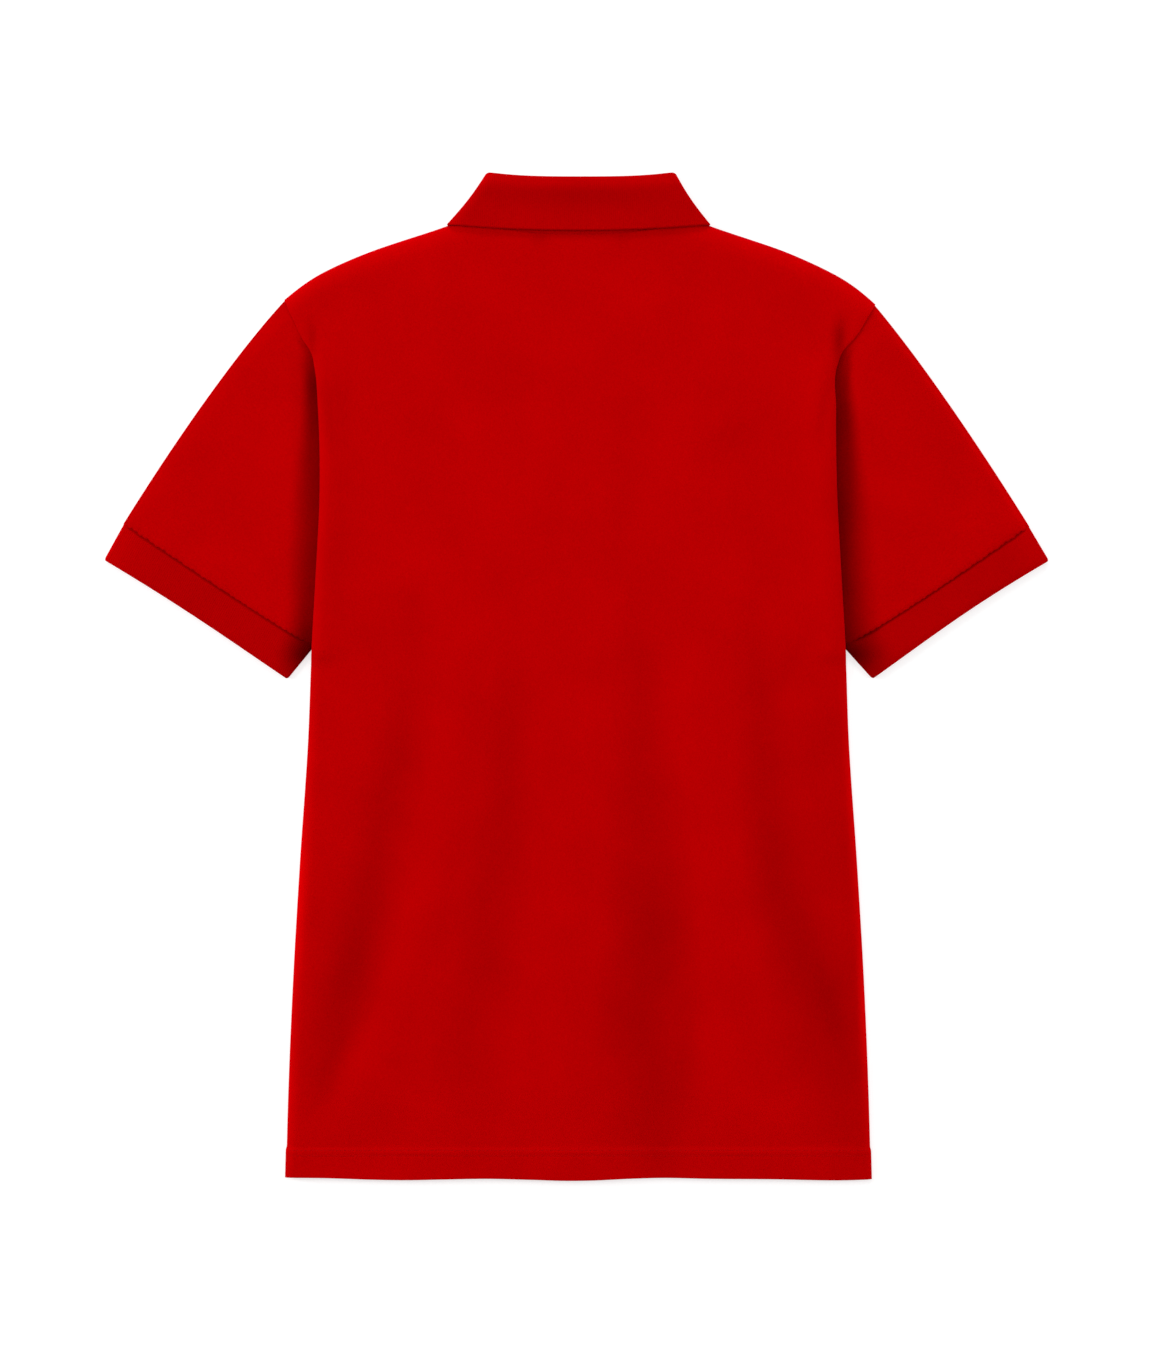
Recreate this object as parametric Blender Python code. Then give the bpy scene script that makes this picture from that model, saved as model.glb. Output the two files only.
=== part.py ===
"""A short-sleeved polo shirt laid flat on its front, with its back upwards.

Each piece that is cut and sewn is its own closed wall of cloth. The sizes below are in
millimetres, and the meshes in metres. The origin lies under the middle of the shirt, on
the surface that carries it: X runs across the chest, Y from the hem to the collar, and Z
up through the layers, which are the front, the sleeves, the back and the collar's fall.
"""

from collections import namedtuple
import math

import bmesh
import bpy
import numpy as np

MM = 0.001

# Cloth and seams
CLOTH = 1.4  # knitted wall of the body, the sleeves and the placket
RIB = 1.8  # ribbed wall of the collar and the cuffs
GAP = 0.3  # between pieces at a seam
CENTRE_X = 2.1  # centre line of the shirt
HANDS = {-1: "left", 1: "right"}  # the wearer's sides, by the sign of X

# Body
HEM_Y = -369.0
LEFT_TIP_Y = 276.7  # shoulder tips, where a sleeve begins
RIGHT_TIP_Y = 271.4
HEM_DEPTH = 22.0
HEM_EXTRA = 0.8  # more wall where the hem is turned up
HEM_STEP = 0.7  # how far the hem band stands out at the sides
HEM_WAVE = 0.8
HEM_WAVE_LENGTH = 190.0
WAVE_POWER = 8  # how soon the rows above the hem lose its wave,
RISE_POWER = 3  # and how late they take on the slope of the shoulders
UNDERARM_Y = 72.0

# Height of the back over the surface that carries the shirt
LOFT = 6.4
LOFT_AT_HEM = 5.2
LOFT_AT_NECK = 6.8
LOFT_OVER_PLACKET = 0.9  # more where the placket lies beneath
EASE_AT_HEM = 60.0  # over this height the loft sinks to the hem,
EASE_AT_NECK = 25.0  # and over this one to the neckline
SIDE_ROLL = 7.0  # radius of the rolled side edges, and of the shoulders by the neck
SHOULDER_ROLL = 15.0  # radius of the softer roll at the shoulder tips
SHOULDER_ROLL_OUT = (112.0, 165.0)  # from the centre line
SHOULDER_SLOPE = 0.42

# Edge of the back where it folds over a sleeve. Here and above, a pair is a range over
# which a value eases in, from none at the first to all at the second.
LIP_Z = 4.9
LIP_Y = (7.0, 18.0)  # where the sleeve comes out from under the side
LIP_BAND = (16.0, 10.0)  # inside the edge, where its height is the back's own again
LIP_RISE = 2.2  # how much higher the cloth stands beside the edge
LIP_CREST = 8.0  # from the edge to where it stands highest
LIP_CREST_HALF = 12.0
LIP_CREST_Y = (250.0, 210.0)
FRONT_JOINS_SLEEVE_Y = (6.0, 16.0)

# Neck and collar
NECK_HALF = 82.0  # from the centre line to where the shoulder seam meets the neck
NECK_POINT_Y = 337.0
BACK_NECK_Y = 325.0
BACK_NECK_BEND = 2.6  # power of the back neckline's curve
FRONT_NECK_Y = 250.0
STAND_INSET = 3.4  # the collar's seam turns this far inside the neck point
COLLAR_END = 9.0  # from the centre line to the collar's front ends
FOLD_HALF = 67.4
FOLD_Y = 366.4
FOLD_RISE = 3.0  # how much higher the fold is at the sides than in the middle
FOLD_SHIFT = 1.7  # how far the fold leans towards the wearer's right
FALL_HALF = 94.4
FALL_Y = 327.4
FALL_SIDE_Y = 333.0
FALL_BOW = 4.0
POINT_X = 66.0  # the collar's points, from the centre line
POINT_Y = 232.0
STAND_FRONT = 28.0  # height of the stand at its front ends
RING_MIDDLE_Z = 4.85  # the collar as a flattened ring round the neck
RING_HALF_Z = 2.55
FOLD_RADIUS = 1.4
COLLAR_SAG = 1.0

# Placket and buttons
LIFT = 2.4  # how far the collar's points and the buttons hold up the front
NECK_LIFT_OUT = (124.0, 102.0)  # from the centre line
NECK_LIFT_Y = (196.0, 220.0)
PLACKET_LIFT_OUT = (42.0, 20.0)
PLACKET_LIFT_Y = (70.0, 96.0)
PLACKET_HALF = 15.0
PLACKET_LOW_Y = 105.0
INNER_BAND_HALF = 13.0
INNER_BAND_LOW_Y = 109.0
BUTTON_RADIUS = 5.7
BUTTON_THICK = 2.1
BUTTON_SEGMENTS = 20
BUTTON_HOLE_RADIUS = 0.9
BUTTON_HOLE_AT = 1.6
BUTTON_TOP_Y = 237.0
BUTTON_SPACING = 49.0
BUTTON_COUNT = 3

# Sleeves and cuffs
SLEEVE_TOP = 5.8
SLEEVE_TOP_AT_LIP = 3.6
SLEEVE_RISE_START = 3.0  # from the torso's edge outwards
SLEEVE_RISE_END = 22.0
SLEEVE_BOW = 5.3  # how far the outer fold bows out
CUFF_TOP = 5.0
CUFF_TOP_AT_ENDS = 4.5
CUFF_INSET = 0.7  # how much narrower a cuff is than its sleeve
CUFF_CLEAR = 5.2  # a cuff begins this far along the seam, past the torso's edge

# The torso's edges, from the hem to the shoulder tips.
Side = namedtuple("Side", "y left right")
SIDES = (
    Side(-369.0, -213.0, 217.0),
    Side(-311.0, -211.5, 215.5),
    Side(-223.0, -207.8, 211.9),
    Side(-135.0, -202.7, 206.7),
    Side(-47.0, -196.8, 200.8),
    Side(19.0, -194.2, 198.4),
    Side(78.0, -190.9, 195.0),
    Side(137.0, -188.2, 192.0),
    Side(196.0, -189.4, 190.8),
    Side(225.0, -191.7, 190.6),
    Side(238.0, -194.6, 194.6),
    Side(248.0, -200.9, 204.6),
    Side(262.0, -207.6, 215.2),
    Side(277.0, -214.4, 223.6),
)

# The shoulder line, by its distance from the centre line.
Shoulder = namedtuple("Shoulder", "out y")
SHOULDER = (
    Shoulder(60.0, 345.2),
    Shoulder(82.0, 337.0),
    Shoulder(96.3, 331.1),
    Shoulder(127.2, 320.8),
    Shoulder(166.5, 306.1),
    Shoulder(195.0, 291.4),
    Shoulder(215.0, 277.4),
    Shoulder(222.0, 270.8),
)

# How far a sleeve reaches in under the torso's edge.
Tuck = namedtuple("Tuck", "y reach")
TUCKS = (
    Tuck(18.0, 2.4),
    Tuck(45.0, 5.0),
    Tuck(72.0, 7.5),
    Tuck(137.0, 7.5),
    Tuck(196.0, 7.0),
    Tuck(238.0, 6.5),
    Tuck(255.0, 6.0),
    Tuck(277.0, 4.6),
)

# Heights at which the front, the back and a sleeve share a point of the armhole. They are
# read on the left: the right has the same shares of the way to its lower shoulder tip.
ARMHOLE_YS = np.array(
    [72.0, 105.0, 137.0, 166.0, 190.0, 209.0, 225.0, 234.0, 241.0, 248.0, 256.0, 266.0]
)

# Drape folds of the back: rows of each one's line, rise and half width, from the hem up.
# A negative rise is a trough.
Fold = namedtuple("Fold", "y x rise width")
FOLDS = (
    (
        Fold(-342.0, -196.0, 0.0, 12.0),
        Fold(-297.0, -184.0, -1.3, 17.0),
        Fold(-238.0, -169.0, -2.3, 19.0),
        Fold(-164.0, -149.0, -1.9, 18.0),
        Fold(-91.0, -135.0, -1.4, 17.0),
        Fold(-17.0, -121.0, -0.9, 14.0),
        Fold(72.0, -116.0, 0.0, 9.0),
    ),
    (
        Fold(-350.0, -86.0, 0.0, 18.0),
        Fold(-297.0, -79.0, -0.6, 23.0),
        Fold(-238.0, -70.0, -1.0, 24.0),
        Fold(-164.0, -60.0, -1.3, 20.0),
        Fold(-91.0, -51.0, -1.3, 17.0),
        Fold(-17.0, -47.0, -0.8, 13.0),
        Fold(58.0, -44.0, 0.0, 9.0),
    ),
    (
        Fold(-369.0, 60.0, -1.3, 24.0),
        Fold(-297.0, 55.0, -2.0, 27.0),
        Fold(-238.0, 52.0, -2.5, 29.0),
        Fold(-164.0, 58.0, -2.2, 28.0),
        Fold(-91.0, 53.0, -1.5, 23.0),
        Fold(-17.0, 50.0, -1.1, 17.0),
        Fold(86.0, 46.0, 0.0, 10.0),
    ),
    (
        Fold(-350.0, 200.0, -0.3, 22.0),
        Fold(-297.0, 191.0, -1.4, 28.0),
        Fold(-238.0, 178.0, -2.1, 27.0),
        Fold(-164.0, 153.0, -2.0, 22.0),
        Fold(-91.0, 140.0, -1.7, 18.0),
        Fold(-17.0, 137.0, -1.2, 14.0),
        Fold(62.0, 127.0, 0.0, 9.0),
    ),
    (
        Fold(-330.0, -158.0, 0.0, 18.0),
        Fold(-238.0, -126.0, 1.2, 17.0),
        Fold(-164.0, -104.0, 1.2, 15.0),
        Fold(-17.0, -82.0, 0.6, 14.0),
        Fold(60.0, -78.0, 0.0, 14.0),
    ),
    (
        Fold(-345.0, -16.0, 0.2, 22.0),
        Fold(-238.0, -12.0, 1.1, 20.0),
        Fold(-91.0, -3.0, 1.0, 19.0),
        Fold(40.0, 3.0, 0.0, 18.0),
    ),
    (
        Fold(-345.0, 122.0, 0.0, 19.0),
        Fold(-238.0, 116.0, 1.0, 19.0),
        Fold(-164.0, 106.0, 1.0, 17.0),
        Fold(-17.0, 94.0, 0.4, 15.0),
        Fold(50.0, 92.0, 0.0, 14.0),
    ),
    (
        Fold(-369.0, 214.0, -0.3, 34.0),
        Fold(-300.0, 206.0, -0.7, 42.0),
        Fold(-170.0, 202.0, -0.7, 40.0),
        Fold(-20.0, 196.0, 0.0, 30.0),
    ),
)

# Profile of a button's rim, in from its radius and up from the face that lies down.
Rim = namedtuple("Rim", "inward z")
BUTTON_RIM = (
    Rim(1.6, 0.5),
    Rim(1.1, 0.0),
    Rim(0.5, 0.0),
    Rim(0.0, 0.5),
    Rim(0.0, BUTTON_THICK - 0.6),
    Rim(0.8, BUTTON_THICK),
)

# Corners of the sleeves and cuffs in plan. The seam joins a sleeve to its cuff.
Sleeve = namedtuple("Sleeve", "hand seam_inner seam_outer open_inner open_outer")
SLEEVES = (
    Sleeve(-1, (-191.8, 21.3), (-332.0, 111.0), (-211.5, -1.1), (-345.3, 86.4)),
    Sleeve(1, (195.8, 21.6), (333.0, 109.6), (217.7, -1.1), (346.4, 85.6)),
)

# Finishes
Finish = namedtuple("Finish", "colour roughness")
BODY_KNIT = Finish((0.485, 0.001, 0.002, 1.0), 0.85)
RIB_KNIT = Finish((0.40, 0.001, 0.002, 1.0), 0.9)
BUTTON_RESIN = Finish((0.30, 0.004, 0.006, 1.0), 0.3)


def along(table, key, value, at):
    """A table's value column at the given keys, on a smooth curve through its rows."""
    keys = np.array([getattr(row, key) for row in table])
    values = np.array([getattr(row, value) for row in table])
    slopes = np.gradient(values, keys)
    at = np.clip(at, keys[0], keys[-1])
    low = np.clip(np.searchsorted(keys, at) - 1, 0, len(keys) - 2)
    span = keys[low + 1] - keys[low]
    part = (at - keys[low]) / span
    rest = 1 - part
    return (
        values[low] * (1 + 2 * part) * rest**2
        + values[low + 1] * (1 + 2 * rest) * part**2
        + slopes[low] * span * part * rest**2
        - slopes[low + 1] * span * rest * part**2
    )


def ease(value, start, end):
    """From 0 at the start to 1 at the end, level at both."""
    part = np.clip((value - start) / (end - start), 0, 1)
    return part * part * (3 - 2 * part)


def mix(first, second, part):
    """From the first value to the second, by a part of the way."""
    return first + (second - first) * part


def rolled(distance, radius):
    """Height of a quarter round, from 0 at its edge to 1 at its radius."""
    inward = np.clip(1 - distance / radius, 0, 1)
    return np.sqrt(1 - inward**2)


def round_steps(radius, count):
    """Distances from an edge that divide its quarter round evenly."""
    return radius * (1 - np.cos(np.linspace(0, math.pi / 2, count)))


def plan_points(x, y):
    """Points in plan, from their two coordinates."""
    return np.stack(np.broadcast_arrays(x, y), axis=-1)


# Outlines and heights


def in_hem(y):
    """1 in the hem band and 0 above it."""
    return ease(y, HEM_Y + HEM_DEPTH + 1, HEM_Y + HEM_DEPTH - 1)


def tip_y(hand):
    return LEFT_TIP_Y if hand < 0 else RIGHT_TIP_Y


def side_x(y, hand):
    """The torso's edge at a height, with the hem band standing out a little."""
    return along(SIDES, "y", HANDS[hand], y) + hand * HEM_STEP * in_hem(y)


def tucked_x(y, hand):
    """The line where a sleeve ends, inside the torso's edge."""
    return along(SIDES, "y", HANDS[hand], y) - hand * along(TUCKS, "y", "reach", y)


def front_side_x(y, hand):
    """The front's edge: the torso's below the underarm, and the sleeve's end above it."""
    sewn = tucked_x(y, hand) - hand * 2 * GAP
    return mix(side_x(y, hand), sewn, ease(y, *FRONT_JOINS_SLEEVE_Y))


def shoulder_y(x):
    return along(SHOULDER, "out", "y", np.abs(x - CENTRE_X))


def in_neck(x):
    return np.abs(x - CENTRE_X) < NECK_HALF


def back_neck_y(x):
    """A curve that is flat at the centre and rises to the neck points."""
    out = np.clip(np.abs(x - CENTRE_X) / NECK_HALF, 0, 1)
    return mix(BACK_NECK_Y, NECK_POINT_Y, out**BACK_NECK_BEND)


def front_neck_y(x):
    """A quarter ellipse on each side, from the neck point down to the collar's ends."""
    out = np.clip((np.abs(x - CENTRE_X) - COLLAR_END) / (NECK_HALF - COLLAR_END), 0, 1)
    return mix(NECK_POINT_Y, FRONT_NECK_Y, np.sqrt(1 - out**2))


def back_line(x):
    """Top edge of the back."""
    return np.where(in_neck(x), np.minimum(back_neck_y(x), shoulder_y(x)), shoulder_y(x))


def front_line(x):
    """Top edge of the front, a little inside the back's at the shoulders."""
    shoulder = shoulder_y(x) - 5 * GAP
    return np.where(in_neck(x), np.minimum(front_neck_y(x), shoulder), shoulder)


def front_lift(x, y):
    """How far the front is held up, round the neck and along the placket."""
    out = np.abs(x - CENTRE_X)
    neck = ease(out, *NECK_LIFT_OUT) * ease(y, *NECK_LIFT_Y)
    placket = ease(out, *PLACKET_LIFT_OUT) * ease(y, *PLACKET_LIFT_Y)
    return LIFT * (1 - (1 - neck) * (1 - placket))


def fold_rise(x, y):
    """Sum of the drape folds, each a bell curve across its line."""
    total = np.zeros_like(x)
    for fold in FOLDS:
        away = (x - along(fold, "y", "x", y)) / along(fold, "y", "width", y)
        total += along(fold, "y", "rise", y) * np.exp(-(away**2))
    return total


def back_loft(x, y, inside):
    """Height of the back away from its rolled edges, by the distance inside them."""
    folds = fold_rise(x, y)
    loft = LOFT + folds + LOFT_OVER_PLACKET * front_lift(x, y) / LIFT
    loft = mix(loft, LOFT_AT_HEM + folds / 2, ease(y, HEM_Y + EASE_AT_HEM, HEM_Y))
    below_neck = np.where(in_neck(x), back_neck_y(x) - y, EASE_AT_NECK)
    loft = mix(loft, LOFT_AT_NECK, ease(below_neck, EASE_AT_NECK, 0))
    crest = np.exp(-(((inside - LIP_CREST) / LIP_CREST_HALF) ** 2)) * ease(y, *LIP_CREST_Y)
    return loft + LIP_RISE * over_sleeve(y) * crest + HEM_EXTRA * in_hem(y)


def over_sleeve(y):
    """1 where the torso's edge lies over a sleeve, and 0 below."""
    return ease(y, *LIP_Y)


def back_top(x, y):
    """Top of the back: lofted and folded, rolled down at its sides and shoulders."""
    inside = np.minimum(x - side_x(y, -1), side_x(y, 1) - x)
    front_top = front_lift(x, y) + CLOTH + HEM_EXTRA * in_hem(y)
    rim = front_top + 3 * GAP + HEM_EXTRA * in_hem(y)
    lip = mix(rim, LIP_Z, over_sleeve(y) * ease(inside, *LIP_BAND))
    rim = np.maximum(rim, lip)
    below_shoulder = np.maximum(shoulder_y(x) - y, 0) / math.hypot(1, SHOULDER_SLOPE)
    soft = ease(np.abs(x - CENTRE_X), *SHOULDER_ROLL_OUT)
    over_shoulder = rolled(below_shoulder, mix(SIDE_ROLL, SHOULDER_ROLL, soft))
    round_over = rolled(inside, SIDE_ROLL) * over_shoulder
    return mix(rim, back_loft(x, y, inside), round_over)


def sleeve_top(x, y, hand):
    """Top of a sleeve, low where the torso's edge lies over it."""
    outside = (x - side_x(y, hand)) * hand
    rise = ease(outside, SLEEVE_RISE_START, SLEEVE_RISE_END)
    return mix(SLEEVE_TOP_AT_LIP, SLEEVE_TOP, rise)


# Surfaces, walls and finishes


def link(name, mesh):
    piece = bpy.data.objects.new(name, mesh)
    bpy.context.scene.collection.objects.link(piece)
    return piece


def surface(name, points, ring=False):
    """An object of quads through a grid of points, whose rows may close into rings."""
    rows, columns = points.shape[:2]
    index = np.arange(rows * columns).reshape(rows, columns)
    here = index if ring else index[:, :-1]
    following = np.roll(index, -1, axis=1) if ring else index[:, 1:]
    corners = (here[:-1], following[:-1], following[1:], here[1:])
    quads = np.stack(corners, axis=-1).reshape(-1, 4)
    mesh = bpy.data.meshes.new(name)
    mesh.from_pydata((points.reshape(-1, 3) * MM).tolist(), [], quads.tolist())
    mesh.shade_smooth()
    return link(name, mesh)


def add_wall(piece, thickness, offset, even=True):
    """Turns a surface into a wall, to one side of it (-1 or 1) or half to each (0)."""
    wall = piece.modifiers.new("Wall", "SOLIDIFY")
    wall.thickness = thickness * MM
    wall.offset = offset
    wall.use_even_offset = even
    return wall


def thicken_hem(piece, wall, y):
    """Gives the hem band its extra wall, by a vertex group that thins the rest."""
    full = CLOTH + HEM_EXTRA
    hem = (in_hem(y) > 0.5).ravel()
    group = piece.vertex_groups.new(name="hem_wall")
    group.add(np.flatnonzero(hem).tolist(), 1.0, "REPLACE")
    group.add(np.flatnonzero(~hem).tolist(), CLOTH / full, "REPLACE")
    wall.thickness = full * MM
    wall.vertex_group = group.name


def cut_away(piece, cutter):
    """Takes a closed guide shape out of a piece."""
    cutter.hide_render = True
    cutter.display_type = "WIRE"
    cut = piece.modifiers.new("Cut", "BOOLEAN")
    cut.operation = "DIFFERENCE"
    cut.object = cutter


def give_finish(piece, finish):
    material = bpy.data.materials.new(piece.name)
    material.use_nodes = True
    shader = material.node_tree.nodes["Principled BSDF"]
    shader.inputs["Base Color"].default_value = finish.colour
    shader.inputs["Roughness"].default_value = finish.roughness
    shader.inputs["Metallic"].default_value = 0.0
    piece.data.materials.append(material)


# Front and back


def up_at(y):
    """A height as a share of the way from the hem to the left shoulder tip."""
    return (np.asarray(y) - HEM_Y) / (LEFT_TIP_Y - HEM_Y)


def panel_plan(across, up, edge_x, top_line):
    """Plan of a panel on a grid: rows from hem to shoulders, columns from edge to edge."""
    across, up = np.meshgrid(across, up)
    left_y = mix(HEM_Y, LEFT_TIP_Y, up)
    right_y = mix(HEM_Y, RIGHT_TIP_Y, up)
    x = mix(edge_x(left_y, -1), edge_x(right_y, 1), across)
    top_x = mix(edge_x(LEFT_TIP_Y, -1), edge_x(RIGHT_TIP_Y, 1), across)
    rise = top_line(top_x) - mix(LEFT_TIP_Y, RIGHT_TIP_Y, across)
    y = mix(left_y, right_y, across) + rise * up**RISE_POWER
    wave = HEM_WAVE * np.cos(2 * math.pi * x / HEM_WAVE_LENGTH)
    return x, y - wave * (1 - up) ** WAVE_POWER


def panel_columns(edge_x, edge_steps, between, neck_steps):
    """Where a panel's columns run, from 0 at its left edge to 1 at its right.

    Some lie at the given steps in from each edge, some at steps out from the centre
    line within the neck, and the rest evenly between those.
    """
    left = edge_x(LEFT_TIP_Y, -1)
    right = edge_x(RIGHT_TIP_Y, 1)
    neck = np.concatenate([CENTRE_X - neck_steps[:0:-1], CENTRE_X + neck_steps])
    columns = [
        left + edge_steps,
        np.linspace(left + edge_steps[-1], neck[0], between + 1)[1:-1],
        neck,
        np.linspace(neck[-1], right - edge_steps[-1], between + 1)[1:-1],
        right - edge_steps[::-1],
    ]
    return (np.concatenate(columns) - left) / (right - left)


def make_back():
    rolls = round_steps(SIDE_ROLL, 5)
    neck_steps = np.array([0.0, 16.0, 32.0, 48.0, 64.0, 75.0, NECK_HALF])
    across = panel_columns(side_x, rolls, 9, neck_steps)
    hem_rows = HEM_Y + np.array([0, HEM_DEPTH - 1, HEM_DEPTH + 1])
    body_rows = np.linspace(hem_rows[-1], 4.0, 11)[1:]
    side_rows = np.linspace(body_rows[-1], UNDERARM_Y, 4)[1:-1]
    shoulder_rows = LEFT_TIP_Y - rolls[-2::-1]
    rows = np.concatenate([hem_rows, body_rows, side_rows, ARMHOLE_YS, shoulder_rows])
    x, y = panel_plan(across, up_at(rows), side_x, back_line)
    piece = surface("back_panel", np.stack([x, y, back_top(x, y)], axis=-1))
    thicken_hem(piece, add_wall(piece, CLOTH, -1), y)
    give_finish(piece, BODY_KNIT)


def make_front():
    angles = np.radians([90, 80, 66, 50, 34, 18, 0])
    neck_steps = COLLAR_END + (NECK_HALF - COLLAR_END) * np.cos(angles)
    neck_steps = np.insert(neck_steps, 0, 0.0)
    across = panel_columns(front_side_x, np.array([0.0, 4.0]), 6, neck_steps)
    hem_rows = HEM_Y + np.array([0, HEM_DEPTH - 1, HEM_DEPTH + 1])
    body_rows = np.array([-223.0, -120.0, -47.0, 4.0, 10.0, 17.0, 45.0])
    rows = np.concatenate([hem_rows, body_rows, ARMHOLE_YS, [LEFT_TIP_Y]])
    x, y = panel_plan(across, up_at(rows), front_side_x, front_line)
    piece = surface("front_panel", np.stack([x, y, front_lift(x, y)], axis=-1))
    thicken_hem(piece, add_wall(piece, CLOTH, 1, even=False), y)
    cut_away(piece, placket_opening())
    give_finish(piece, BODY_KNIT)


def placket_opening():
    """A box through the front where the placket goes, open at the neck."""
    clear = 10.0
    low = np.array([CENTRE_X - PLACKET_HALF - GAP, PLACKET_LOW_Y - GAP, -clear])
    high = np.array([CENTRE_X + PLACKET_HALF + GAP, FRONT_NECK_Y + clear, clear])
    shape = bmesh.new()
    bmesh.ops.create_cube(shape, size=1.0)
    for vertex in shape.verts:
        vertex.co = mix(low, high, np.array(vertex.co) + 0.5) * MM
    mesh = bpy.data.meshes.new("placket_opening")
    shape.to_mesh(mesh)
    shape.free()
    return link("placket_opening", mesh)


# Sleeves and cuffs

Ring = namedtuple("Ring", "across rounding high")


def flattened_ring(shares, end_points):
    """Stations round a flattened tube: shares of its width, its end rounding, its height.

    They run over the top at the given shares, round the outer end, back along the
    bottom and round the inner end.
    """
    turn = np.linspace(math.pi / 2, -math.pi / 2, end_points + 2)[1:-1]
    run = np.zeros(len(shares))
    ends = np.zeros(len(shares))
    ends[[0, -1]] = 1, -1
    end = np.zeros(end_points)
    return Ring(
        np.concatenate([shares, end + 1, shares[::-1], end]),
        np.concatenate([ends, np.cos(turn) - 1, ends[::-1], 1 - np.cos(turn)]),
        np.concatenate([run + 1, (1 + np.sin(turn)) / 2, run, (1 - np.sin(turn)) / 2]),
    )


def flattened_tube(name, plan, top, ring, hand):
    """A flattened tube lying on the ground, from its rings in plan and their top height."""
    outer = np.argmax(ring.across)
    width = plan[:, outer : outer + 1] - plan[:, :1]
    width = width / np.linalg.norm(width, axis=-1, keepdims=True)
    plan = plan + (ring.rounding * top / 2)[..., None] * width
    points = np.concatenate([plan, (top * ring.high)[..., None]], axis=-1)
    outwards = points if hand < 0 else points[:, ::-1]
    return surface(name, outwards, ring=True)


def make_sleeve(sleeve):
    """A flattened tube from the armhole to the cuff's seam.

    Its inner edge keeps to the line under the torso's edge, and its outer one bows out.
    """
    hand = sleeve.hand
    stations = up_at(np.append(ARMHOLE_YS, LEFT_TIP_Y))
    ring = flattened_ring((stations - stations[0]) / (1 - stations[0]), 3)
    steps = np.array([0.0, 0.05, 0.12, 0.24, 0.42, 0.6, 0.8, 0.94, 1.0])[:, None]
    arm_y = mix(HEM_Y, tip_y(hand), mix(stations[0], 1.0, ring.across))
    tip_rise = front_line(tucked_x(tip_y(hand), hand)) - tip_y(hand)
    up = mix(stations[0], 1.0, ring.across)
    armhole = plan_points(tucked_x(arm_y, hand), arm_y + tip_rise * up**RISE_POWER)
    seam_inner = np.array(sleeve.seam_inner)
    seam_outer = np.array(sleeve.seam_outer)
    seam = mix(seam_inner, seam_outer, ring.across[:, None])
    plan = mix(armhole, seam, steps[..., None])
    inner_y = mix(arm_y[0], seam_inner[1], steps)
    inner = plan_points(tucked_x(inner_y, hand), inner_y)
    plan = plan + (inner - plan[:, :1]) * ((1 - ring.across) ** 3)[:, None]
    outer_edge = seam_outer - armhole[np.argmax(ring.across)]
    outwards = np.array([-outer_edge[1], outer_edge[0]]) * hand / np.linalg.norm(outer_edge)
    bow = SLEEVE_BOW * 4 * steps * (1 - steps) * ring.across**2
    plan = plan + bow[..., None] * outwards
    top = sleeve_top(plan[..., 0], plan[..., 1], hand)
    piece = flattened_tube("sleeve_" + HANDS[hand], plan, top, ring, hand)
    add_wall(piece, CLOTH, -1)
    give_finish(piece, BODY_KNIT)


def make_cuff(sleeve):
    """A flattened rib tube from the sleeve's seam to the opening, lowest at both ends."""
    seam_inner = np.array(sleeve.seam_inner)
    seam_outer = np.array(sleeve.seam_outer)
    open_inner = np.array(sleeve.open_inner)
    open_outer = np.array(sleeve.open_outer)
    across = (seam_outer - seam_inner) / np.linalg.norm(seam_outer - seam_inner)
    down = (open_outer - seam_outer) / np.linalg.norm(open_outer - seam_outer)
    inner = seam_inner + across * CUFF_CLEAR + down * 2 * GAP
    outer = seam_outer - across * CUFF_INSET + down * 2 * GAP
    ring = flattened_ring(np.linspace(0, 1, 6), 3)
    steps = np.array([0.0, 0.1, 0.5, 0.9, 1.0])[:, None]
    seam = mix(inner, outer, ring.across[:, None])
    opening = mix(open_inner, open_outer, ring.across[:, None])
    plan = mix(seam, opening, steps[..., None])
    top = mix(CUFF_TOP, CUFF_TOP_AT_ENDS, (2 * steps - 1) ** 2)
    piece = flattened_tube("cuff_" + HANDS[sleeve.hand], plan, top, ring, sleeve.hand)
    add_wall(piece, RIB, -1)
    give_finish(piece, RIB_KNIT)


# Collar

Guides = namedtuple("Guides", "seam fold fall turn sag")


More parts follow.
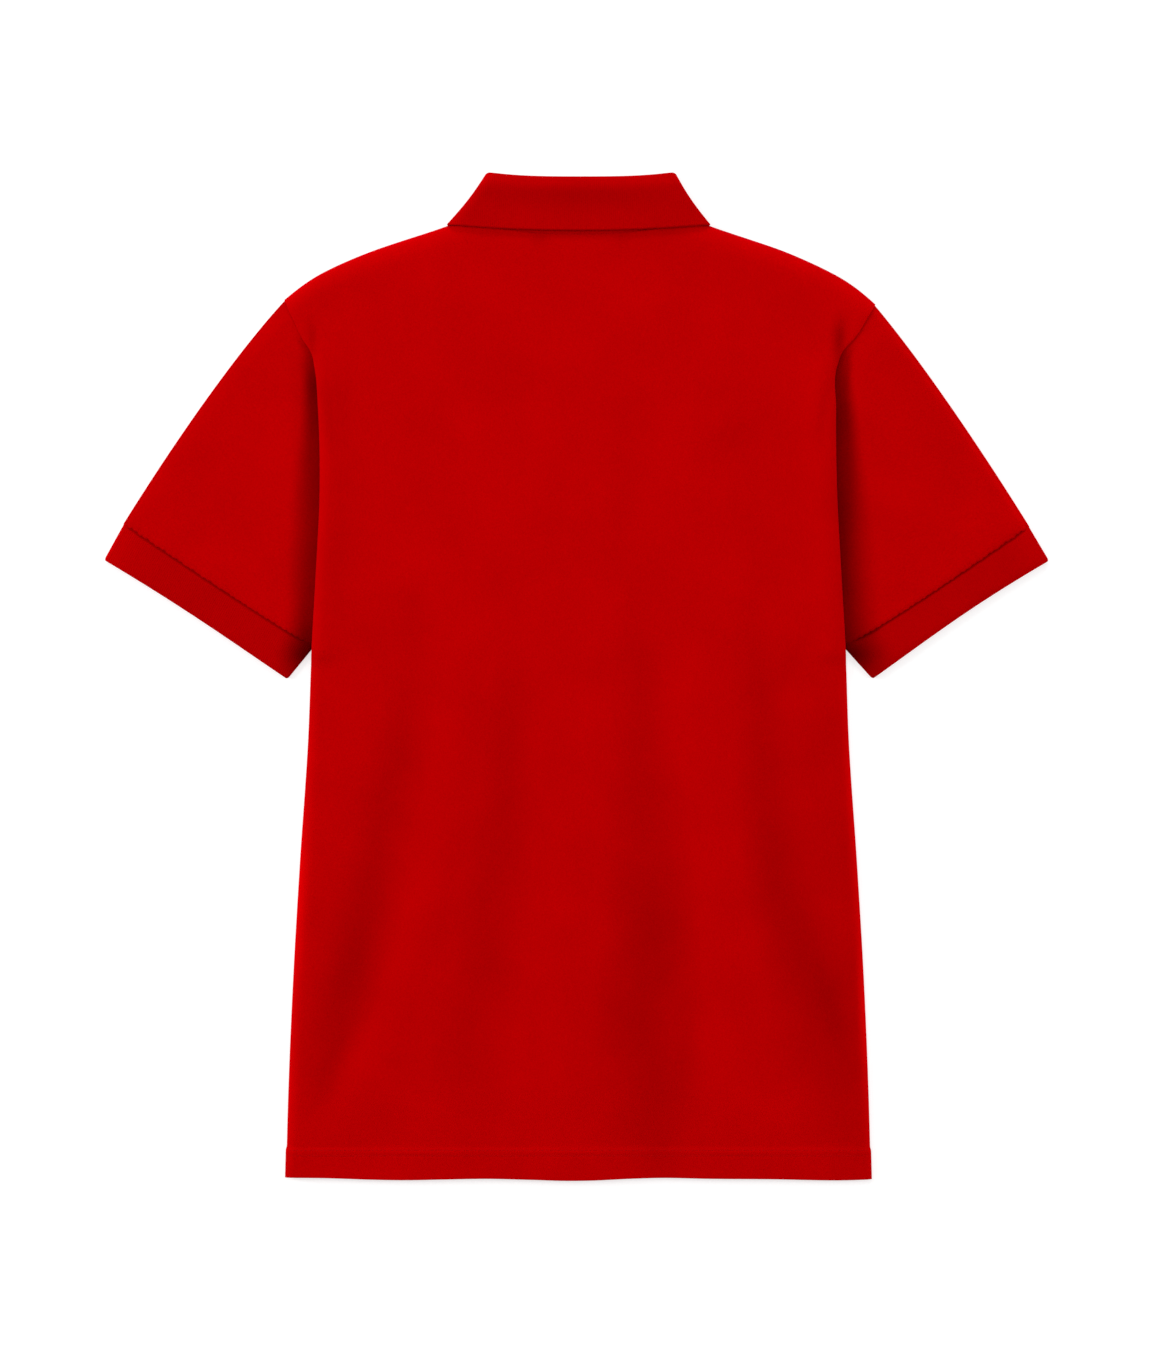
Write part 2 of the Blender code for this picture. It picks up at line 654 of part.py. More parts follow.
def collar_guides():
    """Half of the collar's guide lines in plan, from the centre back to the centre front.

    The seam, the fold and the fall's edge are points in plan, out from the centre line.
    The turn is how far each station has gone round the side of the neck, and the sag is
    its share of the collar's sag, which is all at the back.
    """
    turning = np.linspace(0, math.pi, 7)[1:-1]
    short = 1 - np.sin(turning)
    back_turn = 0.08  # share of each run that is bent round the side
    front_turn = 0.02
    back = np.append(np.linspace(0, 1 - back_turn, 7), 1 - back_turn * short[:3])
    front = np.append(front_turn * short[3:], np.linspace(front_turn, 1, 7))
    seam_half = NECK_HALF - STAND_INSET
    seam_out = seam_half * back
    seam_back = plan_points(seam_out, back_neck_y(CENTRE_X + seam_out) + 2 * GAP)
    fold_back = plan_points(FOLD_HALF * back, FOLD_Y + FOLD_RISE * back**3)
    fall_back = plan_points(FALL_HALF * back, mix(FALL_Y, FALL_SIDE_Y, back**2.2))
    bend = front * math.pi / 2
    seam_out = mix(COLLAR_END, seam_half, np.cos(bend))
    seam_front = plan_points(
        seam_out, mix(seam_back[-1, 1], FRONT_NECK_Y + 2 * GAP, np.sin(bend))
    )
    fold_out = mix(COLLAR_END, FOLD_HALF, np.cos(bend))
    fold_front = plan_points(
        fold_out, mix(fold_back[-1, 1], FRONT_NECK_Y + STAND_FRONT, np.sin(bend))
    )
    fall_out = mix(FALL_HALF, POINT_X, front) + FALL_BOW * np.sin(math.pi * front)
    fall_front = plan_points(fall_out, mix(FALL_SIDE_Y, POINT_Y, front))
    return Guides(
        np.concatenate([seam_back, seam_front]),
        np.concatenate([fold_back, fold_front]),
        np.concatenate([fall_back, fall_front]),
        np.concatenate([np.zeros(7), turning, np.full(7, math.pi)]),
        np.append(1 - back**4, 0 * front),
    )


def collar_row(guides, plan, side, high):
    """A whole row of the collar, from its left front end round the back to its right.

    The side is -1 on the stand, 1 on the fall and between them over the fold, and high
    is 1 at the fold and 0 at both edges.
    """
    away = FOLD_RADIUS * side
    out = plan[:, 0] + away * np.sin(guides.turn)
    z = RING_MIDDLE_Z + (RING_HALF_Z + away) * np.cos(guides.turn)
    z = z - COLLAR_SAG * ease(high, 0, 1) * guides.sag
    centre = CENTRE_X + FOLD_SHIFT * high
    right = np.stack([centre + out, plan[:, 1], z], axis=-1)
    left = np.stack([centre - out, plan[:, 1], z], axis=-1)
    return np.concatenate([left[:0:-1], right])


def make_collar():
    """One wall from the neck seam up the stand, over the fold and down the fall."""
    guides = collar_guides()
    fold_share = 0.04  # share of the stand and of the fall that is bent in the fold
    rows = []
    for part in (0.0, 0.33, 0.66, 1 - fold_share):
        plan = mix(guides.seam, guides.fold, part)
        rows.append(collar_row(guides, plan, -1.0, part))
    for angle in np.linspace(0, math.pi, 6)[1:-1]:
        towards = guides.fall if angle > math.pi / 2 else guides.seam
        plan = mix(guides.fold, towards, fold_share * (1 - math.sin(angle)))
        rows.append(collar_row(guides, plan, -math.cos(angle), 1.0))
    for part in (fold_share, 0.2, 0.4, 0.6, 0.8, 1.0):
        plan = mix(guides.fold, guides.fall, part)
        rows.append(collar_row(guides, plan, 1.0, 1 - part))
    piece = surface("collar", np.stack(rows))
    add_wall(piece, RIB, 0, even=False)
    give_finish(piece, RIB_KNIT)


# Placket and buttons


def make_band(name, half_width, low_y, low_z):
    """A band of the placket, which follows the front's rise."""
    x = np.linspace(CENTRE_X - half_width, CENTRE_X + half_width, 3)
    y = np.linspace(low_y, FRONT_NECK_Y - GAP, 8)
    x, y = np.meshgrid(x, y)
    z = front_lift(np.full_like(x, CENTRE_X), y) + low_z
    piece = surface(name, np.stack([x, y, z], axis=-1))
    add_wall(piece, CLOTH, 1)
    give_finish(piece, BODY_KNIT)


def button_mesh():
    """A round button, face down, with a raised rim round a dished middle."""
    rim = [(BUTTON_RADIUS - row.inward, row.z) for row in BUTTON_RIM]
    profile = [(0.0, BUTTON_RIM[0].z), *rim, (0.0, BUTTON_THICK)]
    shape = bmesh.new()
    chain = [shape.verts.new((x * MM, 0, z * MM)) for x, z in profile]
    edges = [shape.edges.new(pair) for pair in zip(chain, chain[1:])]
    bmesh.ops.spin(
        shape,
        geom=chain + edges,
        axis=(0, 0, 1),
        cent=(0, 0, 0),
        steps=BUTTON_SEGMENTS,
        angle=2 * math.pi,
    )
    bmesh.ops.remove_doubles(shape, verts=shape.verts, dist=0.001 * MM)
    bmesh.ops.recalc_face_normals(shape, faces=shape.faces)
    mesh = bpy.data.meshes.new("button")
    shape.to_mesh(mesh)
    shape.free()
    return mesh


def thread_hole_mesh():
    """Four posts, where a button's thread holes go."""
    shape = bmesh.new()
    for quarter in range(4):
        angle = math.pi / 4 + quarter * math.pi / 2
        post = bmesh.ops.create_cone(
            shape,
            cap_ends=True,
            segments=8,
            radius1=BUTTON_HOLE_RADIUS * MM,
            radius2=BUTTON_HOLE_RADIUS * MM,
            depth=3 * BUTTON_THICK * MM,
        )
        at = BUTTON_HOLE_AT * MM
        place = (at * math.cos(angle), at * math.sin(angle), 0)
        bmesh.ops.translate(shape, verts=post["verts"], vec=place)
    mesh = bpy.data.meshes.new("thread_holes")
    shape.to_mesh(mesh)
    shape.free()
    return mesh


def make_buttons():
    """Buttons on the centre line, the first one just below the collar's seam."""
    mesh = button_mesh()
    holes = thread_hole_mesh()
    for number in range(BUTTON_COUNT):
        y = BUTTON_TOP_Y - BUTTON_SPACING * number
        button = link("button_" + str(number + 1), mesh.copy())
        button.location = (CENTRE_X * MM, y * MM, 0)
        cutter = link("thread_holes_" + str(number + 1), holes)
        cutter.location = button.location
        cut_away(button, cutter)
        give_finish(button, BUTTON_RESIN)


def main():
    for old in list(bpy.data.objects):
        bpy.data.objects.remove(old)
    make_back()
    make_front()
    for sleeve in SLEEVES:
        make_sleeve(sleeve)
        make_cuff(sleeve)
    make_collar()
    make_band("placket_outer", PLACKET_HALF, PLACKET_LOW_Y, 0.0)
    make_band("placket_inner", INNER_BAND_HALF, INNER_BAND_LOW_Y, CLOTH + GAP)
    make_buttons()


main()
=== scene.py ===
"""The looks of a polo shirt laid flat on its front: its knit, folds, sewing and light.

Sizes in the classes and tables are in millimetres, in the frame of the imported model: X
runs across the chest, Y from the hem to the collar, and Z up through the layers. Meshes
are in metres. A field that ends in _x, _y or _z is a place. A hand is -1 on the wearer's
left, which lies on the left, and 1 on the right.
"""

from collections.abc import Callable
from dataclasses import dataclass, field
from enum import Enum
from functools import cache
import logging
import math
from typing import ClassVar, NamedTuple

import bpy
import numpy as np
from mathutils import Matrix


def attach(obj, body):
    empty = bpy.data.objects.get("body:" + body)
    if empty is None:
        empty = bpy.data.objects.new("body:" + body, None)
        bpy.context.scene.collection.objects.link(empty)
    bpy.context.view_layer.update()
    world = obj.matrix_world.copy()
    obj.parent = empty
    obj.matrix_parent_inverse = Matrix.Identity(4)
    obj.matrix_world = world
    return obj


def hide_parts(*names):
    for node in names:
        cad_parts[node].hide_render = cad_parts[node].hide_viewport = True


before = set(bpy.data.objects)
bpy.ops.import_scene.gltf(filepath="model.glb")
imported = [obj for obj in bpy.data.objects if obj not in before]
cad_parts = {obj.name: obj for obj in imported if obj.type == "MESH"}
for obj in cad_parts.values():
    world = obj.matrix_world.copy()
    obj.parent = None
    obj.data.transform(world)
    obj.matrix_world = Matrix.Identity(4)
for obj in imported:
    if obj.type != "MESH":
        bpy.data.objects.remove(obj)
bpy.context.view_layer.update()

MM = 0.001
BODY = "root"

Array = np.ndarray
Run = tuple[float, ...]
Piece = bpy.types.Object
Tree = bpy.types.NodeTree
Node = bpy.types.Node
Socket = bpy.types.NodeSocket
Inputs = dict[str | int, Socket | float | Run]
log = logging.getLogger("polo_shirt")


# ---------------------------------------------------------------- curves and blends


def ease(value: Array, start: float, end: float) -> Array:
    """A step from 0 to 1 that is level at both ends: 3t² - 2t³ of the part t of the way.

    Args:
        value: where to read the step.
        start: value at which it is 0.
        end: value at which it is 1, below start for a falling step.

    Returns:
        The step's height at each value.
    """
    part = np.clip((value - start) / (end - start), 0, 1)
    return part * part * (3 - 2 * part)


def mix(first: Array, second: Array, part: Array) -> Array:
    """From the first value to the second, by a part of the way."""
    return first + (second - first) * part


def rolled(distance: Array, radius: Array) -> Array:
    """A quarter round from 0 at the edge to 1: the root of 1 less the square of the way left."""
    left = np.clip(1 - distance / radius, 0, 1)
    return np.sqrt(1 - left**2)


def hump(value: Array, middle: Array, width: Array) -> Array:
    """A bell curve, e to the minus square of the distance from its middle over its width."""
    return np.exp(-(((value - middle) / width) ** 2))


def merged(*steps: Array) -> Array:
    """Several runs of positions in one rising run, each position once."""
    return np.unique(np.round(np.concatenate(steps), 4))


def joined(*coordinates: Array) -> Array:
    """Points out of their coordinates."""
    return np.stack(coordinates, axis=-1)


@dataclass(frozen=True)
class Table:
    """Smooth curves through the columns of a table, over its first column.

    Each span is a cubic that meets its rows with the slope between their neighbours.

    Attributes:
        rows: the rows, whose first numbers rise.
    """

    rows: tuple[Run, ...]

    def read(self, at: Array) -> list[Array]:
        """The other columns, held level past either end of the table.

        Args:
            at: positions in the first column.

        Returns:
            The values of each other column there.
        """
        keys, *columns = np.array(self.rows, float).T
        at = np.clip(at, keys[0], keys[-1])
        low = np.clip(np.searchsorted(keys, at) - 1, 0, len(keys) - 2)
        high = low + 1
        span = keys[high] - keys[low]
        part = (at - keys[low]) / span
        rest = 1 - part
        curves = []
        for column in columns:
            slope = np.gradient(column, keys)
            ends = column[low] * (1 + 2 * part) * rest**2 + column[high] * (1 + 2 * rest) * part**2
            bend = (slope[low] * rest - slope[high] * part) * span * part * rest
            curves.append(ends + bend)
        return curves


@dataclass(frozen=True)
class Creases:
    """Short creases between two points.

    Each is a bell curve of the distance from its bowed line, times the square of the
    sine of the way along it, so that it fades out at both ends.

    Attributes:
        rows: of each its start's x and y, its end's, the bow of its line to the left,
            its rise and its half width.
    """

    rows: tuple[Run, ...]

    def read(self, x: Array, y: Array) -> Array:
        """The creases' rise, added up.

        Args:
            x: first coordinate of the points.
            y: second coordinate.

        Returns:
            The rise at each point.
        """
        total = np.zeros_like(x)
        for start_x, start_y, end_x, end_y, bow, rise, width in self.rows:
            run_x, run_y = end_x - start_x, end_y - start_y
            length = np.linalg.norm([run_x, run_y])
            ahead = ((x - start_x) * run_x + (y - start_y) * run_y) / length**2
            aside = ((y - start_y) * run_x - (x - start_x) * run_y) / length
            part = np.clip(ahead, 0, 1)
            bowed = aside - bow * 4 * part * (1 - part)
            total += rise * np.sin(math.pi * part) ** 2 * hump(bowed, 0, width)
        return total


# ---------------------------------------------------------------- meshes


def cells(grid: Array) -> Array:
    """What a grid holds at the four corners of each of its cells, going round.

    Args:
        grid: rows by columns, of numbers or of points.

    Returns:
        One row of four for each cell.
    """
    corners = [grid[:-1, :-1], grid[:-1, 1:], grid[1:, 1:], grid[1:, :-1]]
    return np.stack(corners, axis=2).reshape(-1, 4, *grid.shape[2:])


def arc_map(points: Array) -> Array:
    """A map of a grid in metres, by distance along its rows and up its columns.

    Args:
        points: grid of points in millimetres, rows by columns by three.

    Returns:
        Two coordinates for each point.
    """
    across = np.linalg.norm(np.diff(points, axis=1), axis=-1)
    along = np.linalg.norm(np.diff(points, axis=0), axis=-1)
    across = np.pad(np.cumsum(across, axis=1), ((0, 0), (1, 0)))
    along = np.pad(np.cumsum(along, axis=0), ((1, 0), (0, 0)))
    middle = across[:, across.shape[1] // 2]
    return joined(across - middle[:, None], along) * MM


def plan_map(points: Array, grain: float) -> Array:
    """A map of a grid in metres, by its plan.

    Args:
        points: grid of points in millimetres, rows by columns by three.
        grain: turn of the cloth's grain, in radians.

    Returns:
        Two coordinates for each point.
    """
    x, y = points[..., 0] * MM, points[..., 1] * MM
    turned = (x * math.cos(grain) + y * math.sin(grain), y * math.cos(grain) - x * math.sin(grain))
    return joined(*turned)


def cloth(
    name: str,
    points: Array,
    depth: Array,
    ring: bool = False,
    grain: float | None = None,
    cut: Callable[[Array], Array] | None = None,
) -> Piece:
    """A sheet of quads through a grid of points, with its map and its painted shade.

    Args:
        name: name of the piece.
        points: grid of points in millimetres, rows by columns by three.
        depth: painted shade for each point, from 0 on open cloth to 1 in the deepest fold, and
            below 0 painted highlight.
        ring: whether each row closes on itself.
        grain: turn of its grain in plan, for a map that is its plan and not its arcs.
        cut: says of the middles of the quads which of them are cut out.

    Returns:
        The piece, in the scene.
    """
    rows, columns = points.shape[:2]
    index = np.arange(rows * columns).reshape(rows, columns)
    if ring:
        index = np.concatenate([index, index[:, :1]], axis=1)
    points = points.reshape(-1, 3)
    depth = depth.ravel()
    flat = arc_map(points[index]) if grain is None else plan_map(points[index], grain)
    quads, corners = cells(index), cells(flat)
    if cut is not None:
        kept = ~cut(points[quads].mean(axis=1))
        used, quads = np.unique(quads[kept], return_inverse=True)
        quads, corners = quads.reshape(-1, 4), corners[kept]
        points, depth = points[used], depth[used]
    mesh = polygons(name, points * MM, quads)
    mesh.uv_layers.new(name="cloth").data.foreach_set("uv", corners.astype(np.float32).ravel())
    # The crease attribute carries the painted shade and, below 0, painted highlight.
    layer = mesh.attributes.new("crease", "FLOAT", "POINT")
    layer.data.foreach_set("value", depth.astype(np.float32).ravel())
    return linked(name, mesh)


def polygons(name: str, points: Array, faces: Array) -> bpy.types.Mesh:
    """A smooth mesh of faces that all have the same number of corners.

    Args:
        name: name of the mesh.
        points: its points in metres.
        faces: point numbers, one row for each face.

    Returns:
        The mesh.
    """
    mesh = bpy.data.meshes.new(name)
    mesh.vertices.add(len(points))
    mesh.vertices.foreach_set("co", points.astype(np.float32).ravel())
    mesh.loops.add(faces.size)
    mesh.loops.foreach_set("vertex_index", faces.astype(np.int32).ravel())
    mesh.polygons.add(len(faces))
    starts = np.arange(0, faces.size, faces.shape[1], dtype=np.int32)
    mesh.polygons.foreach_set("loop_start", starts)
    mesh.update(calc_edges=True)
    mesh.shade_smooth()
    return mesh


def linked(name: str, data: bpy.types.ID) -> Piece:
    """An object of a mesh, a light or a camera, in the scene."""
    made = bpy.data.objects.new(name, data)
    bpy.context.scene.collection.objects.link(made)
    return made


def wall(piece: Piece, thickness: float, offset: float) -> Piece:
    """Turns a sheet into a closed wall.

    Args:
        piece: the sheet.
        thickness: of the wall, in millimetres.
        offset: -1 for a wall behind the sheet, 1 in front, 0 half on each side.

    Returns:
        The same piece.
    """
    solid = piece.modifiers.new("Wall", "SOLIDIFY")
    solid.thickness = thickness * MM
    solid.offset = offset
    solid.use_even_offset = False
    return piece


# ---------------------------------------------------------------- finishes


class Knit(Enum):
    """How a cloth is knitted, which is its small relief."""

    PIQUE = "pique"
    RIB = "rib"


def fill(node: Node, inputs: Inputs) -> Node:
    """Sets inputs of a node to numbers or colours, or links other nodes' outputs to them.

    Args:
        node: the node.
        inputs: number, colour or output by the input's name or place.

    Returns:
        The same node.
    """
    for label, value in inputs.items():
        if isinstance(value, bpy.types.NodeSocket):
            node.id_data.links.new(value, node.inputs[label])
        else:
            node.inputs[label].default_value = value
    return node


def math_node(tree: Tree, operation: str, *values: Socket | float) -> Socket:
    """A Math node.

    Args:
        tree: the node tree.
        operation: the node's operation.
        values: outputs or numbers for its inputs, in order.

    Returns:
        Its output.
    """
    node = tree.nodes.new("ShaderNodeMath")
    node.operation = operation
    return fill(node, dict(enumerate(values))).outputs[0]


def noise(tree: Tree, vector: Socket, scale: float, detail: float = 2.0) -> Socket:
    """A Noise Texture's value, about 0.5, at so many cells a metre."""
    node = tree.nodes.new("ShaderNodeTexNoise")
    return fill(node, {"Scale": scale, "Detail": detail, "Vector": vector}).outputs["Fac"]


def group_node(tree: Tree, group: Tree, inputs: Inputs) -> Node:
    """A node of a group in a material's tree.

    Args:
        tree: the material's tree.
        group: the group.
        inputs: number, colour or output by the input's name.

    Returns:
        The node.
    """
    node = tree.nodes.new("ShaderNodeGroup")
    node.node_tree = group
    return fill(node, inputs)


def new_group(name: str, inputs: dict[str, str], output: str, kind: str) -> tuple[Tree, Node, Node]:
    """An empty node group with its named sockets.

    Args:
        name: name of the group.
        inputs: kind of each input, Vector, Color or Float, by its name.
        output: name of its one output.
        kind: kind of that output.

    Returns:
        The group, its input node and its output node.
    """
    tree = bpy.data.node_groups.new(name, "ShaderNodeTree")
    for label, given in inputs.items():
        tree.interface.new_socket(label, in_out="INPUT", socket_type="NodeSocket" + given)
    tree.interface.new_socket(output, in_out="OUTPUT", socket_type="NodeSocket" + kind)
    return tree, tree.nodes.new("NodeGroupInput"), tree.nodes.new("NodeGroupOutput")


@cache
def knit_group(knit: Knit) -> Tree:
    """The relief of a knit, as a height from 0 to 1 over the cloth's own map.

    Piqué is the cosine of the way across times that of the way along, which stands in
    staggered grains with pits between. Rib is the bare sine of the way across, which
    stands in round cords with sharp valleys, each crossed by its stitches.

    Args:
        knit: which knit.

    Returns:
        The node group.
    """
    inputs = {"Map": "Vector", "Across": "Float", "Along": "Float"}
    tree, given, put = new_group("knit_" + knit.value, inputs, "Height", "Float")
    split = fill(tree.nodes.new("ShaderNodeSeparateXYZ"), {0: given.outputs["Map"]})
    turn = 2 * math.pi if knit is Knit.PIQUE else math.pi
    across = math_node(tree, "DIVIDE", split.outputs[0], given.outputs["Across"])
    along = math_node(tree, "DIVIDE", split.outputs[1], given.outputs["Along"])
    across = math_node(tree, "MULTIPLY", across, turn)
    along = math_node(tree, "MULTIPLY", along, 2 * math.pi)
    if knit is Knit.PIQUE:
        cosines = [math_node(tree, "COSINE", way) for way in (across, along)]
        waves = math_node(tree, "MULTIPLY", *cosines)
        height = math_node(tree, "MULTIPLY_ADD", waves, 0.5, 0.5)
    else:
        cord = math_node(tree, "ABSOLUTE", math_node(tree, "SINE", across))
        cord = math_node(tree, "POWER", cord, 0.7)
        stitches = math_node(tree, "MULTIPLY_ADD", math_node(tree, "COSINE", along), 0.1, 0.9)
        height = math_node(tree, "MULTIPLY", cord, stitches)
    fill(put, {"Height": height})
    return tree


@cache
def tone_and_painted_shade_group(broad_share: float = 0.22, fleck_share: float = 0.16) -> Tree:
    """The colour of dyed cotton, uneven over a hand's width and flecked, with painted shade.

    The colour is multiplied by 1, plus a share of a broad noise and of a fine one about
    their middles, less a share of the painted shade that the cloth carries, which is a
    painted highlight where it is below 0.

    Args:
        broad_share: share of the broad noise.
        fleck_share: share of the fine one.

    Returns:
        The node group.
    """
    inputs = {"Position": "Vector", "Colour": "Color", "Crease": "Float", "PaintedShadeStrength": "Float"}
    tree, given, put = new_group("cotton_tone_and_painted_shade", inputs, "Colour", "Color")
    broad = noise(tree, given.outputs["Position"], 20.0, 5.0)
    fleck = noise(tree, given.outputs["Position"], 900.0, 1.0)
    shade = math_node(tree, "MULTIPLY_ADD", broad, broad_share, 1 - broad_share / 2)
    shade = math_node(tree, "SUBTRACT", shade, fleck_share / 2)
    shade = math_node(tree, "MULTIPLY_ADD", fleck, fleck_share, shade)
    # Painted shade: the crease value times its strength darkens the colour, and below 0 lightens
    # it.
    crease = math_node(tree, "MULTIPLY", given.outputs["Crease"], given.outputs["PaintedShadeStrength"])
    shade = math_node(tree, "SUBTRACT", shade, crease)
    scale = tree.nodes.new("ShaderNodeVectorMath")
    scale.operation = "SCALE"
    fill(scale, {0: given.outputs["Colour"], "Scale": shade})
    fill(put, {"Colour": scale.outputs[0]})
    return tree


@dataclass(frozen=True)
class Finish:
    """A dyed surface with a small relief.

    Attributes:
        name: name of the material.
        colour: its linear red, green and blue.
        relief: height of its relief, in millimetres.
        slot: the record's material slot; not used.
        strength: how much of the relief the light meets.
    """

    name: str
    colour: tuple[float, float, float]
    relief: float
    slot: str
    strength: ClassVar[float] = 1.0

    @cache
    def material(self) -> bpy.types.Material:
        """The material, with the dye, on cloth also painted shade, the relief and the shine of its
        kind.

        Returns:
            The material, made at the first call.
        """
        made = bpy.data.materials.new(self.name)
        made.use_nodes = True
        tree = made.node_tree
        place = tree.nodes.new("ShaderNodeTexCoord")
        tint = {"Colour": (*self.colour, 1.0), "Position": place.outputs["Object"]}
        # Random tone of the dye, and on cloth painted shade and highlight.
        dye = group_node(tree, tone_and_painted_shade_group(), self.painted_shade_inputs(tree) | tint)
        height = self.height(tree, place)
        slope = {"Strength": self.strength, "Distance": self.relief * MM, "Height": height}
        bump = fill(tree.nodes.new("ShaderNodeBump"), slope)
        skin = {"Base Color": dye.outputs["Colour"], "Normal": bump.outputs["Normal"]}
        fill(tree.nodes["Principled BSDF"], skin | self.shine())
        return made

    def painted_shade_inputs(self, tree: Tree) -> Inputs:
        """What paints shade into its colour: nothing, unless its kind says so."""
        return {}

    def height(self, tree: Tree, place: Node) -> Socket:
        """The relief's height, as a share of the whole, at a place."""
        raise NotImplementedError

    def shine(self) -> Inputs:
        """The shader's inputs for how it reflects, by name."""
        raise NotImplementedError


@dataclass(frozen=True)
class ClothFinish(Finish):
    """A dyed cotton knit.

    Attributes:
        knit: its small relief.
        across: distance from grain to grain across the cloth, in millimetres.
        along: the same along it.
        bloom: weight of the soft sheen of its fibres.
        painted_shade_strength: share by which the painted shade darkens its colour where the crease
            value is 1.
    """

    knit: Knit
    across: float
    along: float
    bloom: float
    painted_shade_strength: float = 0.25

    def painted_shade_inputs(self, tree: Tree) -> Inputs:
        """What paints shade into its colour: the crease attribute, times the painted shade's
        strength.
        """
        # The crease attribute holds painted shade, and painted highlight below 0.
        crease = tree.nodes.new("ShaderNodeAttribute")
        crease.attribute_name = "crease"
        return {"PaintedShadeStrength": self.painted_shade_strength, "Crease": crease.outputs["Fac"]}

    def height(self, tree: Tree, place: Node) -> Socket:
        """The knit's height, over the cloth's map."""
        spacing = {"Across": self.across * MM, "Along": self.along * MM}
        knit = group_node(tree, knit_group(self.knit), spacing | {"Map": place.outputs["UV"]})
        return knit.outputs["Height"]

    def shine(self) -> Inputs:
        """The shader's inputs for how it reflects: matt, with the red sheen of its fibres.

        Returns:
            Number or colour by the input's name.
        """
        return {
            "Roughness": 0.95,
            "Specular IOR Level": 0.0,
            "Sheen Weight": self.bloom,
            "Sheen Roughness": 0.35,
            "Sheen Tint": (1.0, 0.01, 0.06, 1.0),
        }


@dataclass(frozen=True)
class SmoothFinish(Finish):
    """A thread or a moulded resin, with a fine unevenness.

    Attributes:
        grain: size of its unevenness, in millimetres.
        roughness: from 0, polished, to 1, matt.
        specular: strength of its reflection.
    """

    grain: float
    roughness: float
    specular: float
    strength: ClassVar[float] = 0.6

    def height(self, tree: Tree, place: Node) -> Socket:
        """A noise of the size of its unevenness."""
        return noise(tree, place.outputs["Object"], 1 / (self.grain * MM))

    def shine(self) -> Inputs:
        """The shader's inputs for its own roughness and reflection, by name."""
        return {"Roughness": self.roughness, "Specular IOR Level": self.specular}


RED = (0.44, 0.0, 0.0004)
RED_RIB = (0.375, 0.0, 0.0004)
RED_THREAD = (0.38, 0.0, 0.0004)
RED_RESIN = (0.30, 0.001, 0.003)
PIQUE = ClothFinish("pique_cotton", RED, 0.16, "body_knit", Knit.PIQUE, 1.3, 1.1, bloom=0.35)
RIB = ClothFinish("rib_cotton", RED_RIB, 0.17, "rib_knit", Knit.RIB, 1.5, 0.9, bloom=0.30)
THREAD = SmoothFinish("sewing_thread", RED_THREAD, 0.05, "body_knit", 0.4, 0.7, specular=0.05)
RESIN = SmoothFinish("button_resin", RED_RESIN, 0.04, "button", 2.5, 0.32, specular=0.3)


def dress(piece: Piece, finish: Finish, *nodes: str) -> Piece:
    """Gives a piece its finish and body, and hides the solids that it stands for.

    Args:
        piece: the piece.
        finish: its finish.
        nodes: the solids that it replaces.

    Returns:
        The same piece.
    """
    piece.data.materials.clear()
    piece.data.materials.append(finish.material())
    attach(piece, BODY)
    if nodes:
        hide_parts(*nodes)
    log.info("%s: %d faces", piece.name, len(piece.data.polygons))
    return piece


# ---------------------------------------------------------------- outlines and heights


